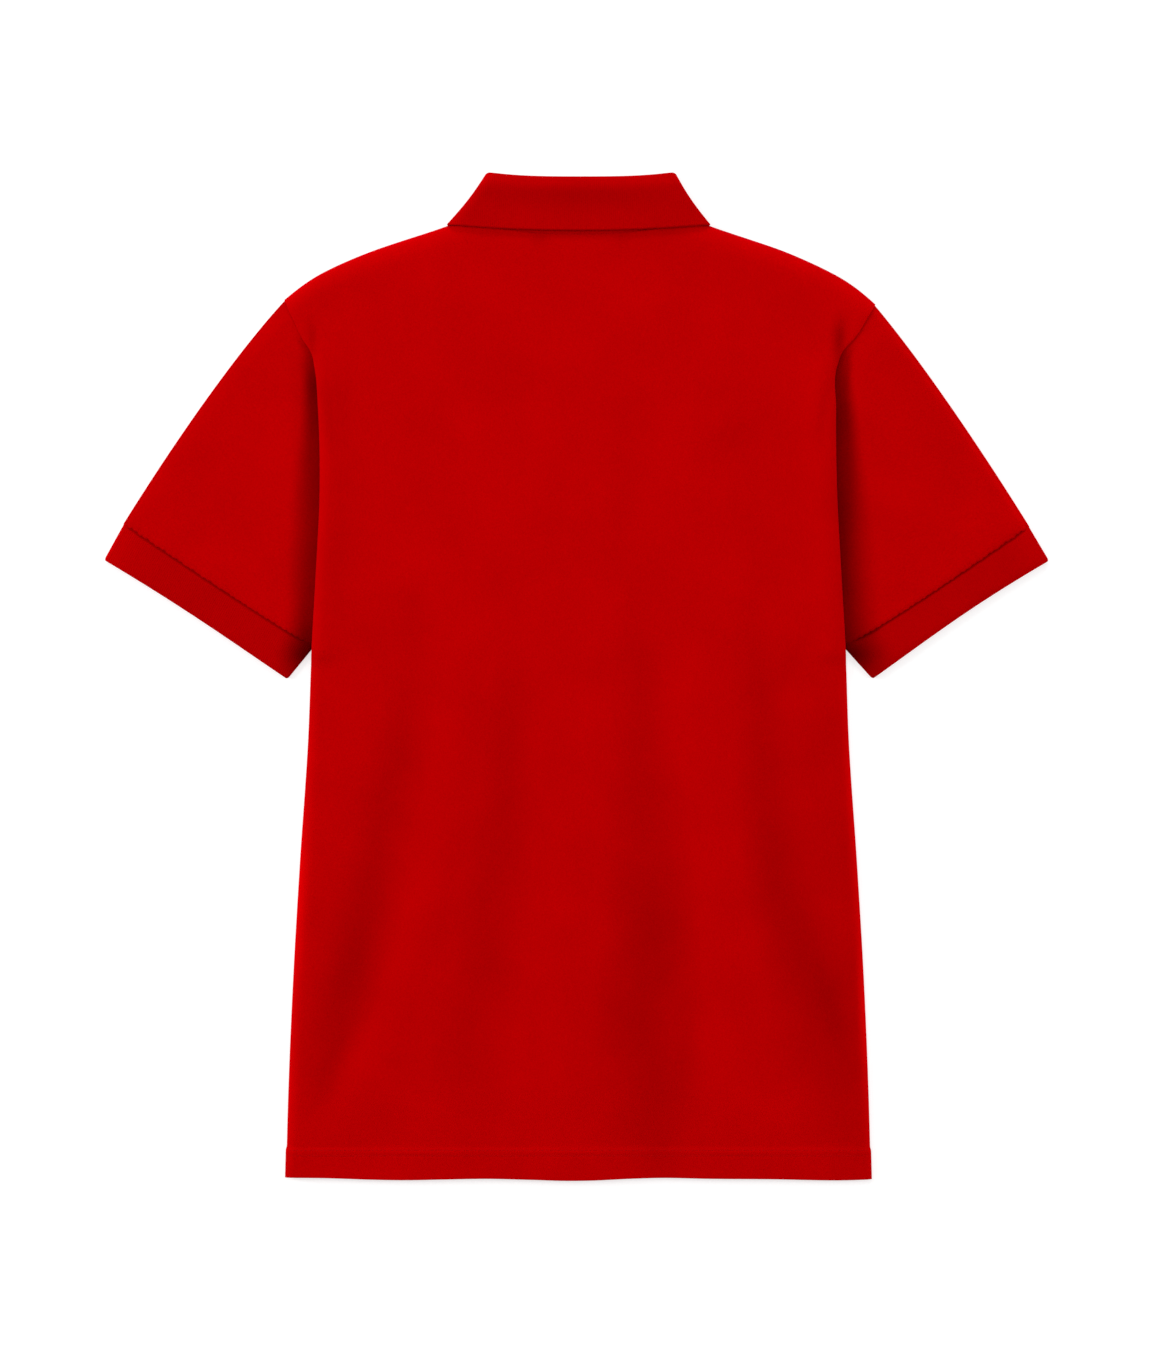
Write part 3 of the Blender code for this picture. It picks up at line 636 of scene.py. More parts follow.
@dataclass(frozen=True)
class Pattern:
    """The shirt's outline as it lies, which every piece keeps to.

    Attributes:
        sides: by height, the torso's left and right edge.
        shoulders: by distance from the centre line, height of the left and right
            shoulder line.
        hem_dips: by place across, how far the hem hangs below its level.
        tucks: by height, how far a sleeve reaches in under the torso's edge.
    """

    centre_x: float = 2.1
    hem_y: float = -369.0
    hem_depth: float = 22.0
    hem_step: float = 0.7
    left_tip_y: float = 276.7
    right_tip_y: float = 271.4
    underarm_y: float = 72.0
    neck_half: float = 82.0
    neck_point_y: float = 337.0
    back_neck_y: float = 325.0
    front_neck_y: float = 250.0
    collar_end: float = 9.0
    gap: float = 0.3
    lip_low_y: float = 18.0
    placket_half: float = 15.0
    placket_low_y: float = 105.0
    sides: Table = Table((
        (-369, -213, 217), (-311, -211.5, 215.5), (-223, -207.8, 211.9), (-135, -202.7, 206.7),
        (-47, -196.8, 200.8), (19, -194.2, 198.4), (78, -190.9, 195), (137, -188.2, 192),
        (196, -189.4, 191.3), (225, -191.7, 191.7), (238, -194.6, 197), (248, -200.9, 206),
        (262, -207.6, 214.8), (277, -214.4, 223.6),
    ))
    shoulders: Table = Table((
        (60, 345.2, 345.2), (82, 337, 337), (96.3, 331.1, 331.1), (127.2, 321.1, 320.9),
        (150, 313.4, 313), (166.5, 306.9, 306.1), (182, 299.9, 298.8), (195, 292.9, 291.7),
        (205, 286, 284.8), (212, 280.5, 279.1), (217, 276.3, 274.7), (222, 271.5, 269.9),
    ))
    hem_dips: Table = Table((
        (-214, -0.9), (-180, -0.5), (-151, 0.5), (-129, 0.9), (-92, 0.3), (-67, -0.1), (-34, 0.6),
        (-4, 1.4), (11, 1.2), (40, -0.1), (62, -0.7), (99, -0.1), (143, 0.2), (202, 0.9),
        (218, 0.3),
    ))
    tucks: Table = Table((
        (18, 2.4), (45, 5), (72, 7.5), (137, 7.5), (196, 7), (238, 6.5), (255, 6), (277, 4.6),
    ))

    def tip_y(self, hand: int) -> float:
        """Height of the shoulder's tip."""
        return self.left_tip_y if hand < 0 else self.right_tip_y

    def in_hem(self, y: Array) -> Array:
        """1 in the hem band and 0 above it, by a soft step 4 mm long."""
        top = self.hem_y + self.hem_depth
        return ease(y, top + 2, top - 2)

    def plain_side(self, y: Array, hand: int) -> Array:
        """The torso's edge at a height, without the hem's step."""
        return self.sides.read(y)[hand > 0]

    def side_x(self, y: Array, hand: int) -> Array:
        """The torso's edge at a height, where the hem band stands out a little."""
        return self.plain_side(y, hand) + hand * self.hem_step * self.in_hem(y)

    def tucked_x(self, y: Array, hand: int) -> Array:
        """The line under the torso's edge where a sleeve ends."""
        return self.plain_side(y, hand) - hand * self.tucks.read(y)[0]

    def front_side_x(self, y: Array, hand: int) -> Array:
        """The front's edge: the torso's, and above the underarm the sleeve's end."""
        sewn = self.tucked_x(y, hand) - hand * 2 * self.gap
        return mix(self.side_x(y, hand), sewn, ease(y, self.lip_low_y - 12, self.lip_low_y - 2))

    def out(self, x: Array) -> Array:
        """Distance from the centre line."""
        return np.abs(x - self.centre_x)

    def shoulder_y(self, x: Array) -> Array:
        """The shoulder line over a place across."""
        return np.where(x < self.centre_x, *self.shoulders.read(self.out(x)))

    def back_neck(self, x: Array) -> Array:
        """The back neckline: flat at the centre, rising by the 2.6th power of the way out."""
        part = np.clip(self.out(x) / self.neck_half, 0, 1)
        return mix(self.back_neck_y, self.neck_point_y, part**2.6)

    def front_neck(self, x: Array) -> Array:
        """The front neckline: a quarter ellipse from each neck point to the placket."""
        part = np.clip((self.out(x) - self.collar_end) / (self.neck_half - self.collar_end), 0, 1)
        return mix(self.neck_point_y, self.front_neck_y, np.sqrt(1 - part**2))

    def top_line(self, x: Array, neck: Array, inset: float) -> Array:
        """Top edge of a panel: its neckline, and past the neck points the shoulder line.

        Args:
            x: places across.
            neck: the neckline there.
            inset: how far the panel ends below the shoulder line.

        Returns:
            The height of the edge.
        """
        shoulder = self.shoulder_y(x) - inset
        return np.where(self.out(x) < self.neck_half, np.minimum(neck, shoulder), shoulder)

    def back_line(self, x: Array) -> Array:
        """Top edge of the back."""
        return self.top_line(x, self.back_neck(x), 0.0)

    def front_line(self, x: Array) -> Array:
        """Top edge of the front, a little inside the back's."""
        return self.top_line(x, self.front_neck(x), 5 * self.gap)

    def over_sleeve(self, y: Array) -> Array:
        """1 where the torso's edge lies over a sleeve, and 0 below."""
        return ease(y, self.lip_low_y - 11, self.lip_low_y)


@dataclass(frozen=True)
class Plan:
    """Plan of a panel: straight rows at the hem that lean into the shoulder line.

    Attributes:
        pattern: the shirt's outline.
        edge: the panel's edge, by height and hand.
        top_line: its top edge, by place across.
    """

    pattern: Pattern
    edge: Callable[[Array, int], Array]
    top_line: Callable[[Array], Array]

    def grid(self, across: Array, rows: Array) -> tuple[Array, Array]:
        """The points of the panel.

        Between its two edges a row runs straight, from its height on the left to the
        same share of the way up on the right. The shoulder line's own rise over that row
        comes in by the cube of the way up, and the hem's dips fade by the eighth power
        of the way down.

        Args:
            across: columns, from 0 at the left edge to 1 at the right.
            rows: heights of the rows at the left edge.

        Returns:
            The two coordinates of each point of the grid.
        """
        low, tips = self.pattern.hem_y, (self.pattern.left_tip_y, self.pattern.right_tip_y)
        across, up = np.meshgrid(across, (rows - low) / (tips[0] - low))
        left_y, right_y = (mix(low, tip, up) for tip in tips)
        x = mix(self.edge(left_y, -1), self.edge(right_y, 1), across)
        top_x = mix(self.edge(tips[0], -1), self.edge(tips[1], 1), across)
        rise = self.top_line(top_x) - mix(*tips, across)
        y = mix(left_y, right_y, across) + rise * up**3
        return x, y - self.pattern.hem_dips.read(x)[0] * (1 - up) ** 8

    def columns(self, steps: Array, between: int, neck: Array) -> Array:
        """Columns of the panel: close at its edges, where they must be in the neck.

        Args:
            steps: distances in from each edge.
            between: number of even columns on each side.
            neck: distances from the centre line, from 0 out.

        Returns:
            The columns, from 0 at the left edge to 1 at the right.
        """
        left = self.edge(self.pattern.left_tip_y, -1)
        right = self.edge(self.pattern.right_tip_y, 1)
        centre = self.pattern.centre_x
        middle = np.concatenate([centre - neck[:0:-1], centre + neck])
        runs = [
            left + steps,
            np.linspace(left + steps[-1], middle[0], between + 1)[1:-1],
            middle,
            np.linspace(middle[-1], right - steps[-1], between + 1)[1:-1],
            right - steps[::-1],
        ]
        return (np.concatenate(runs) - left) / (right - left)


@dataclass(frozen=True)
class Layers:
    """Heights of the shirt's layers over the surface that it lies on.

    Attributes:
        folds: long soft ridges and troughs, each by height with its place across, its
            rise and its half width.
        creases: short ones.
        shades: streaks of painted shade in the armholes, which don't change the height.
        painted_armhole_shade_tables: the left and the right painted shade beside an armhole, by
            height with its reach out, the level part of it and its depth.
        neck_hold: steps over which the collar's points come to hold up the front, by
            distance from the centre line and by height.
        placket_hold: the same of the placket's buttons.
        lip_join: heights over which the lip over a sleeve turns into the shoulder's seam.
        sleeve_join: the same of the sleeve below it.
        lip_fade: heights over which the lip's rise comes in.
        lip_band: middle and half width of this rise, in from the edge.
    """

    pattern: Pattern = Pattern()
    cloth: float = 1.1
    hem_extra: float = 0.8
    hold: float = 2.4
    loft: float = 6.4
    loft_at_hem: float = 5.2
    loft_at_neck: float = 6.8
    over_placket: float = 0.9
    left_roll: float = 8.0
    right_roll: float = 5.0
    shoulder_roll: float = 15.0
    shoulder_slope: float = 0.42
    lip_z: float = 4.9
    seam_z: float = 5.35
    lip_rise: float = 2.2
    sleeve_z: float = 6.2
    sleeve_low_z: float = 2.7
    sleeve_seam_z: float = 5.05
    sleeve_edge_z: float = 3.6
    sleeve_tip_z: float = 1.6
    sleeve_roll: float = 10.0
    sleeve_reach: float = 21.0
    tip_from_y: float = 225.0
    hem_fade: float = 60.0
    neck_fade: float = 25.0
    neck_hold: tuple[Run, Run] = ((124.0, 102.0), (196.0, 220.0))
    placket_hold: tuple[Run, Run] = ((42.0, 20.0), (70.0, 96.0))
    lip_join: Run = (228.0, 246.0)
    sleeve_join: Run = (222.0, 246.0)
    lip_fade: Run = (250.0, 210.0)
    lip_band: Run = (8.0, 12.0)
    folds: tuple[Table, ...] = (
        Table((
            (-342, -196, 0, 12), (-297, -184, -1, 17), (-238, -169, -2.3, 19),
            (-164, -149, -1.9, 18), (-91, -135, -1.4, 17), (-17, -121, -0.9, 14),
            (72, -116, 0, 9),
        )),
        Table((
            (-350, -86, 0, 18), (-297, -79, -0.6, 23), (-238, -70, -1, 24), (-164, -60, -1.3, 20),
            (-91, -51, -1.3, 17), (-17, -47, -0.8, 13), (58, -44, 0, 9),
        )),
        Table((
            (-369, 60, -1.2, 24), (-297, 55, -1.8, 28), (-238, 52, -2.2, 30),
            (-164, 58, -1.9, 29), (-91, 53, -1.3, 23), (-17, 50, -1.1, 17), (86, 46, 0, 10),
        )),
        Table((
            (-350, 200, -0.3, 22), (-297, 191, -1.2, 30), (-238, 178, -1.6, 29),
            (-164, 153, -2, 22), (-91, 140, -1.7, 18), (-17, 137, -1.2, 14), (62, 127, 0, 9),
        )),
        Table((
            (-330, -158, 0, 18), (-238, -126, 1.2, 17), (-164, -104, 1.2, 15),
            (-17, -82, 0.6, 14), (60, -78, 0, 14),
        )),
        Table((
            (-345, -16, 0.2, 22), (-238, -12, 1.1, 20), (-91, -3, 1, 19), (40, 3, 0, 18),
        )),
        Table((
            (-345, 122, 0, 19), (-238, 116, 1, 19), (-164, 106, 1, 17), (-17, 94, 0.4, 15),
            (50, 92, 0, 14),
        )),
        Table((
            (-369, 214, -0.3, 34), (-300, 206, -0.6, 42), (-170, 202, -0.8, 42),
            (-60, 192, -0.8, 38), (60, 182, 0, 30),
        )),
    )
    creases: Creases = Creases((
        (-192, 232, -176, 150, 3, -0.8, 5), (193, 240, 178, 150, -3, -0.9, 5),
        (-186, 60, -120, -30, 6, -0.5, 9), (190, 50, 132, -50, -7, -0.5, 9),
        (-150, -230, -196, -350, -5, -0.7, 8), (168, -190, 205, -330, 6, -0.6, 9),
        (-30, -180, -24, -340, 3, -0.6, 9), (88, -200, 80, -345, -3, -0.5, 8),
        (-95, 300, -40, 240, 6, 0.4, 12), (98, 298, 36, 236, -6, 0.4, 12),
        (-160, 200, -60, 150, 8, -0.35, 14), (162, 196, 70, 130, -8, -0.35, 14),
        (-194.5, 270, -191.5, 226, 0, -0.9, 3.5), (195, 270, 192.5, 224, 0, -1.3, 4.4),
        (-102, 314, 106, 314, -5, -0.45, 14), (-34, 332, -20, 314, 0, -0.9, 6),
        (42, 332, 28, 313, 0, -0.9, 6),
    ))
    shades: Creases = Creases((
        (195.8, 275, 192.8, 216, 0, 1, 4.6), (-193, 268, -191.5, 230, 0, 0.25, 3.5),
    ))
    painted_armhole_shade_tables: tuple[Table, Table] = (
        Table((
            (-2, 27, 0.1, 1), (6, 28, 0.1, 2.3), (14, 28, 0.1, 3.1), (28, 24, 0.15, 2.6),
            (44, 21, 0.2, 2), (93, 26, 0.1, 1.75), (166, 19, 0.3, 1.85), (190, 15, 0.3, 2.1),
            (203, 14, 0.3, 2.2), (218, 12.5, 0.3, 2.2), (229, 11.5, 0.2, 1.6), (237, 9, 0.2, 1.4),
            (244, 6.5, 0.3, 1.1), (251, 6, 0.3, 0.3), (257, 6, 0.3, 0),
        )),
        Table((
            (-2, 38, 0.05, 1.6), (6, 40, 0.05, 2.6), (14, 40, 0.05, 3.1), (28, 35, 0.1, 2.4),
            (44, 31, 0.1, 2.2), (93, 30, 0.1, 2.3), (166, 22, 0.33, 2.3), (190, 19, 0.35, 2.35),
            (203, 17, 0.35, 2.3), (218, 14.5, 0.5, 2), (229, 12.5, 0.5, 1.5), (236, 9, 0.4, 1.4),
            (244, 6, 0.4, 0.2), (250, 6, 0.4, 0),
        )),
    )

    def creased(self, x: Array, y: Array) -> Array:
        """Rise of the folds, each a bell curve across its line, and of the creases.

        Args:
            x: first coordinate of the points.
            y: second coordinate.

        Returns:
            The rise at each point.
        """
        total = np.zeros_like(x)
        for fold in self.folds:
            line, rise, width = fold.read(y)
            total += rise * hump(x, line, width)
        return total + self.creases.read(x, y)

    def front_lift(self, x: Array, y: Array) -> Array:
        """How far the collar's points and the buttons hold up the front.

        Args:
            x: first coordinate of the points.
            y: second coordinate.

        Returns:
            The lift at each point.
        """
        neck, placket = (
            ease(self.pattern.out(x), *across) * ease(y, *along)
            for across, along in (self.neck_hold, self.placket_hold)
        )
        return self.hold * (1 - (1 - neck) * (1 - placket))

    def back_loft(self, x: Array, y: Array, inside: Array) -> Array:
        """Height of the back away from its rolled edges.

        Args:
            x: first coordinate of the points.
            y: second coordinate.
            inside: distance inside the nearer side edge.

        Returns:
            The height at each point.
        """
        pattern = self.pattern
        folds = self.creased(x, y)
        loft = self.loft + folds + self.over_placket * self.front_lift(x, y) / self.hold
        near_hem = ease(y, pattern.hem_y + self.hem_fade, pattern.hem_y)
        loft = mix(loft, self.loft_at_hem + 0.5 * folds, near_hem)
        in_neck = pattern.out(x) < pattern.neck_half
        below_neck = np.where(in_neck, pattern.back_neck(x) - y, np.inf)
        loft = mix(loft, self.loft_at_neck, ease(below_neck, self.neck_fade, 0))
        beside_lip = hump(inside, *self.lip_band) * ease(y, *self.lip_fade)
        loft = loft + self.lip_rise * pattern.over_sleeve(y) * beside_lip
        return loft + self.hem_extra * pattern.in_hem(y)

    def back_top(self, x: Array, y: Array) -> Array:
        """Height of the back: its loft, rolled down at the sides and the shoulders.

        Args:
            x: first coordinate of the points.
            y: second coordinate.

        Returns:
            The height at each point.
        """
        pattern = self.pattern
        inside = np.minimum(x - pattern.side_x(y, -1), pattern.side_x(y, 1) - x)
        inside = np.maximum(inside, 0)
        front_top = self.front_lift(x, y) + self.cloth + self.hem_extra * pattern.in_hem(y)
        rim = front_top + 2 * pattern.gap
        lip = mix(self.lip_z, self.seam_z, ease(y, *self.lip_join))
        side = mix(rim, np.maximum(rim, lip), pattern.over_sleeve(y))
        below = np.maximum(pattern.shoulder_y(x) - y, 0) / math.hypot(1, self.shoulder_slope)
        radius = np.where(x < pattern.centre_x, self.left_roll, self.right_roll)
        lofted = mix(side, self.back_loft(x, y, inside), rolled(inside, radius))
        return mix(rim, lofted, rolled(below, self.shoulder_roll) ** 0.8)

    def outside(self, x: Array, y: Array, hand: int) -> Array:
        """Distance outside the torso's edge."""
        return (x - self.pattern.side_x(y, hand)) * hand

    def sleeve_top(self, x: Array, y: Array, hand: int, from_fold: Array) -> Array:
        """Height of a sleeve, which dips under the torso's edge and rolls at its fold.

        Args:
            x: first coordinate of the points.
            y: second coordinate.
            hand: which sleeve.
            from_fold: distance from the sleeve's outer fold.

        Returns:
            The height at each point.
        """
        low = mix(self.sleeve_low_z, self.sleeve_seam_z, ease(y, *self.sleeve_join))
        top = mix(low, self.sleeve_z, ease(self.outside(x, y, hand), 0, self.sleeve_reach))
        near_tip = ease(y, self.tip_from_y, self.pattern.tip_y(hand))
        edge = np.minimum(top, mix(self.sleeve_edge_z, self.sleeve_tip_z, near_tip))
        radius = mix(self.sleeve_roll, self.shoulder_roll, near_tip)
        return mix(edge, top, rolled(from_fold, radius))

    def armhole_painted_shade(self, x: Array, y: Array, hand: int) -> Array:
        """Painted shade of the cloth beside the torso's edge: level at first, then less."""
        reach, level, depth = self.painted_armhole_shade_tables[hand > 0].read(y)
        return depth * ease(self.outside(x, y, hand) / reach, 1.0, level)


# ---------------------------------------------------------------- sewing


@dataclass
class Sewing:
    """Rows of stitches, joined in one piece.

    Attributes:
        name: name of the piece.
        radius: of the thread.
        length: of a stitch in a row.
        space: between two stitches.
        starts: one end of every stitch.
        ends: the other end of every stitch.
    """

    name: str
    radius: float = 0.2
    length: float = 2.3
    space: float = 0.6
    starts: list[Array] = field(default_factory=list)
    ends: list[Array] = field(default_factory=list)

    def row(self, path: Array) -> None:
        """Adds a row of stitches.

        Args:
            path: points along the row.
        """
        end = self.way(path)[-1]
        count = max(int(end // (self.length + self.space)), 1)
        start = np.arange(count) * end / count
        self.starts.append(self.points(path, start))
        self.ends.append(self.points(path, start + self.length))

    def crossings(self, path: Array, half: float, space: float) -> None:
        """Adds short stitches that lie across a level path, side by side.

        Args:
            path: points along the row.
            half: half of a stitch's length.
            space: from stitch to stitch.
        """
        at = np.arange(0, self.way(path)[-1], space)
        ahead = self.points(path, at + 0.1) - self.points(path, at - 0.1)
        aside = joined(-ahead[:, 1], ahead[:, 0], 0 * at)
        aside = half * aside / np.linalg.norm(aside, axis=-1, keepdims=True)
        self.stitches(self.points(path, at), aside)

    def stitches(self, middle: Array, half: Array) -> None:
        """Adds stitches that lie half to each side of their middles."""
        self.starts.append(middle - half)
        self.ends.append(middle + half)

    @staticmethod
    def way(path: Array) -> Array:
        """Distance along a path to each of its points."""
        run = np.linalg.norm(np.diff(path, axis=0), axis=-1)
        return np.concatenate([[0.0], np.cumsum(run)])

    @staticmethod
    def points(path: Array, at: Array) -> Array:
        """Points of a path at distances along it."""
        way = Sewing.way(path)
        return joined(*(np.interp(at, way, column) for column in path.T))

    def build(self) -> Piece:
        """One mesh of all stitches, dressed.

        Each is a round thread of six sides, whose radius is the thread's times the root
        of 1 less the square of the way from its middle, so that it ends in a point.

        Returns:
            The piece.
        """
        start = np.concatenate(self.starts)
        end = np.concatenate(self.ends)
        way = np.array([-1.0, -0.8, 0.0, 0.8, 1.0])
        turn = np.arange(6) * math.pi / 3
        ahead = end - start
        unit = ahead / np.linalg.norm(ahead, axis=-1, keepdims=True)
        up = np.array([0.0, 0.0, 1.0])
        aside = np.cross(up, unit)
        round_x = np.cos(turn)[None, :, None] * aside[:, None, :]
        round_z = np.sin(turn)[None, :, None] * up
        swell = self.radius * np.sqrt(1.02 - way**2)
        middle = (start + end)[:, None, :] / 2 + ahead[:, None, :] * way[:, None] / 2
        points = middle[:, :, None, :] + swell[:, None, None] * (round_x + round_z)[:, None]
        index = np.arange(points[..., 0].size).reshape(points.shape[:3])
        following = np.roll(index, -1, axis=2)
        quads = [index[:, :-1], following[:, :-1], following[:, 1:], index[:, 1:]]
        mesh = polygons(self.name, points.reshape(-1, 3) * MM, np.stack(quads, -1).reshape(-1, 4))
        return dress(linked(self.name, mesh), THREAD)


# ---------------------------------------------------------------- pieces


@dataclass
class Part:
    """A part of the shirt, which lies as the layers say.

    Attributes:
        layers: the heights and, in them, the outline.
        thickness: of its cloth.
    """

    layers: Layers
    thickness: float = 1.1

    @property
    def pattern(self) -> Pattern:
        """The shirt's outline."""
        return self.layers.pattern


@dataclass
class Panel(Part):
    """A panel of the body, with its hem turned up and sewn.

    Attributes:
        stitch_rows: heights over the hem of its two rows of stitches.
        stitched: where these begin and end.
    """

    stitch_rows: tuple[float, float] = (17.0, 21.0)
    stitched: tuple[float, float] = (-211.0, 215.0)

    def hem_sewing(self, name: str, height: Callable[[Array, Array], Array]) -> Piece:
        """The double row of stitches along the hem.

        Args:
            name: name of the piece.
            height: of the thread over a point in plan.

        Returns:
            The piece.
        """
        made = Sewing(name)
        x = np.linspace(*self.stitched, 600)
        for row in self.stitch_rows:
            y = np.full_like(x, self.pattern.hem_y + row)
            made.row(joined(x, y, height(x, y)))
        return made.build()


@dataclass
class BackPanel(Panel):
    """The back: folded, and rolled at its edges.

    Attributes:
        hem_rows: heights of grid rows in the hem, beside those at its sewing.
        tight_every: distance along the hem from one tight stretch of sewing to the next.
        loosest: how tight the sewing is between them.
        drawn: how far a row of stitches draws the cloth in, and half width of that.
        puffed: how far the cloth puffs out between the rows, the same way.
        puckers: waves of the band, each its rise, turn and start.
        pucker_share: share of them that shows.
        pucker_band: middle and half width of the band, up from the hem.
        full_depth: depth of a fold at which its painted shade is full.
        rim_inset: distance in from an edge at which its painted highlight is strongest.
        rim_reach: half width of that painted highlight on the left and on the right.
        rims: by height, the painted highlight on the left and the right edge.
        shoulder_light: the painted highlight along the shoulders.
        shoulder_reach: its half width.
    """

    hem_rows: Run = (0, 0.4, 1, 2, 4, 7, 10, 13, 15, 19, 23.6, 25, 28, 32)
    body_rows: int = 150
    top_rows: int = 40
    top_from_y: float = 225.0
    tight_every: float = 123.0
    loosest: float = 0.3
    drawn: tuple[float, float] = (0.16, 0.7)
    puffed: tuple[float, float] = (0.10, 1.6)
    puckers: tuple[Run, Run] = ((0.16, 0.9, 0.0), (0.12, 0.37, 1.3))
    pucker_share: float = 0.7
    pucker_band: tuple[float, float] = (15.0, 9.0)
    full_depth: float = 2.6
    rim_inset: float = 1.8
    rim_reach: tuple[float, float] = (6.0, 2.9)
    rims: Table = Table((
        (-369, 0, 0.2), (-341, 0.2, 0.6), (-297, 0.4, 1.2), (-238, 0.5, 1.9), (-179, 1.1, 1),
        (-120, 0.75, 1.3), (-61, 0.2, 1), (-20, 0.1, 0.7), (40, 0, 0),
    ))
    shoulder_light: float = 0.55
    shoulder_reach: float = 10.0

    def rows(self) -> Array:
        """Heights of the grid's rows, close at the hem, its sewing and the shoulders.

        Returns:
            The heights, rising.
        """
        pattern = self.pattern
        seams = [row + np.linspace(-1.2, 1.2, 7) for row in self.stitch_rows]
        hem = merged(self.hem_rows, *seams, pattern.hem_depth + np.linspace(-1.2, 1.2, 5))
        body = np.linspace(pattern.hem_y + 36, self.top_from_y, self.body_rows)
        top = np.linspace(self.top_from_y, pattern.left_tip_y, self.top_rows)
        return merged(pattern.hem_y + hem, body, top)

    def build(self) -> Piece:
        """The panel, with close columns where its sides roll.

        Returns:
            The piece, dressed.
        """
        pattern = self.pattern
        plan = Plan(pattern, pattern.side_x, pattern.back_line)
        roll = self.layers.left_roll
        steps = roll * (1 - np.cos(np.linspace(0, math.pi / 2, 14)))
        steps = np.concatenate([steps, roll + np.arange(1, 9) * 1.6])
        across = plan.columns(steps, 35, np.linspace(0, pattern.neck_half, 27))
        x, y = plan.grid(across, self.rows())
        points = joined(x, y, self.top(x, y))
        # The back carries painted shade and highlight in its crease attribute.
        piece = cloth("back_cloth", points, self.depth(x, y), grain=0.0)
        return dress(wall(piece, self.thickness, -1), PIQUE, "back_panel")

    def top(self, x: Array, y: Array) -> Array:
        """Height of the back, drawn in more and less along the two rows of its sewing.

        A bell curve across each row draws it in, one between them puffs it out, and both
        come and go by the square of a cosine along the hem. Two sines pucker the band.

        Args:
            x: first coordinate of the points.
            y: second coordinate.

        Returns:
            The height at each point.
        """
        up = y - self.pattern.hem_y
        rows = sum(hump(up, row, self.drawn[1]) for row in self.stitch_rows)
        between = hump(up, sum(self.stitch_rows) / 2, self.puffed[1])
        tight = self.loosest + (1 - self.loosest) * np.cos(math.pi * x / self.tight_every) ** 2
        sewn = tight * (self.puffed[0] * between - self.drawn[0] * rows)
        waves = sum(rise * np.sin(x * turn + start) for rise, turn, start in self.puckers)
        pucker = self.pucker_share * waves * hump(up, *self.pucker_band)
        return self.layers.back_top(x, y) + (sewn + pucker)

    def depth(self, x: Array, y: Array) -> Array:
        """Painted shade of the back: from 0 to 1 in its folds, with the painted streaks by the
        armholes added, and below 0 where highlight is painted.

        The painted highlight lies along the rolled edges and the shoulders, by a bell curve of
        the way in from each.

        Args:
            x: first coordinate of the points.
            y: second coordinate.

        Returns:
            The painted shade at each point.
        """
        pattern = self.pattern
        # Painted shade in the folds' troughs and in the streaks by the armholes.
        deep = np.clip(-self.layers.creased(x, y) / self.full_depth, 0, 1)
        deep += self.layers.shades.read(x, y)
        # Painted highlight along the rolled side edges and the shoulders.
        light = np.zeros_like(x)
        for hand, rim, reach in zip((-1, 1), self.rims.read(y), self.rim_reach):
            light += rim * hump(hand * (pattern.side_x(y, hand) - x), self.rim_inset, reach)
        below = pattern.shoulder_y(x) - y
        light += self.shoulder_light * hump(below, self.rim_inset, self.shoulder_reach)
        return deep - light

    def sewing(self) -> Piece:
        """The double row of stitches round the back of the hem, lying on the cloth."""
        return self.hem_sewing("hem_sewing_back", lambda x, y: self.top(x, y) + 0.02)


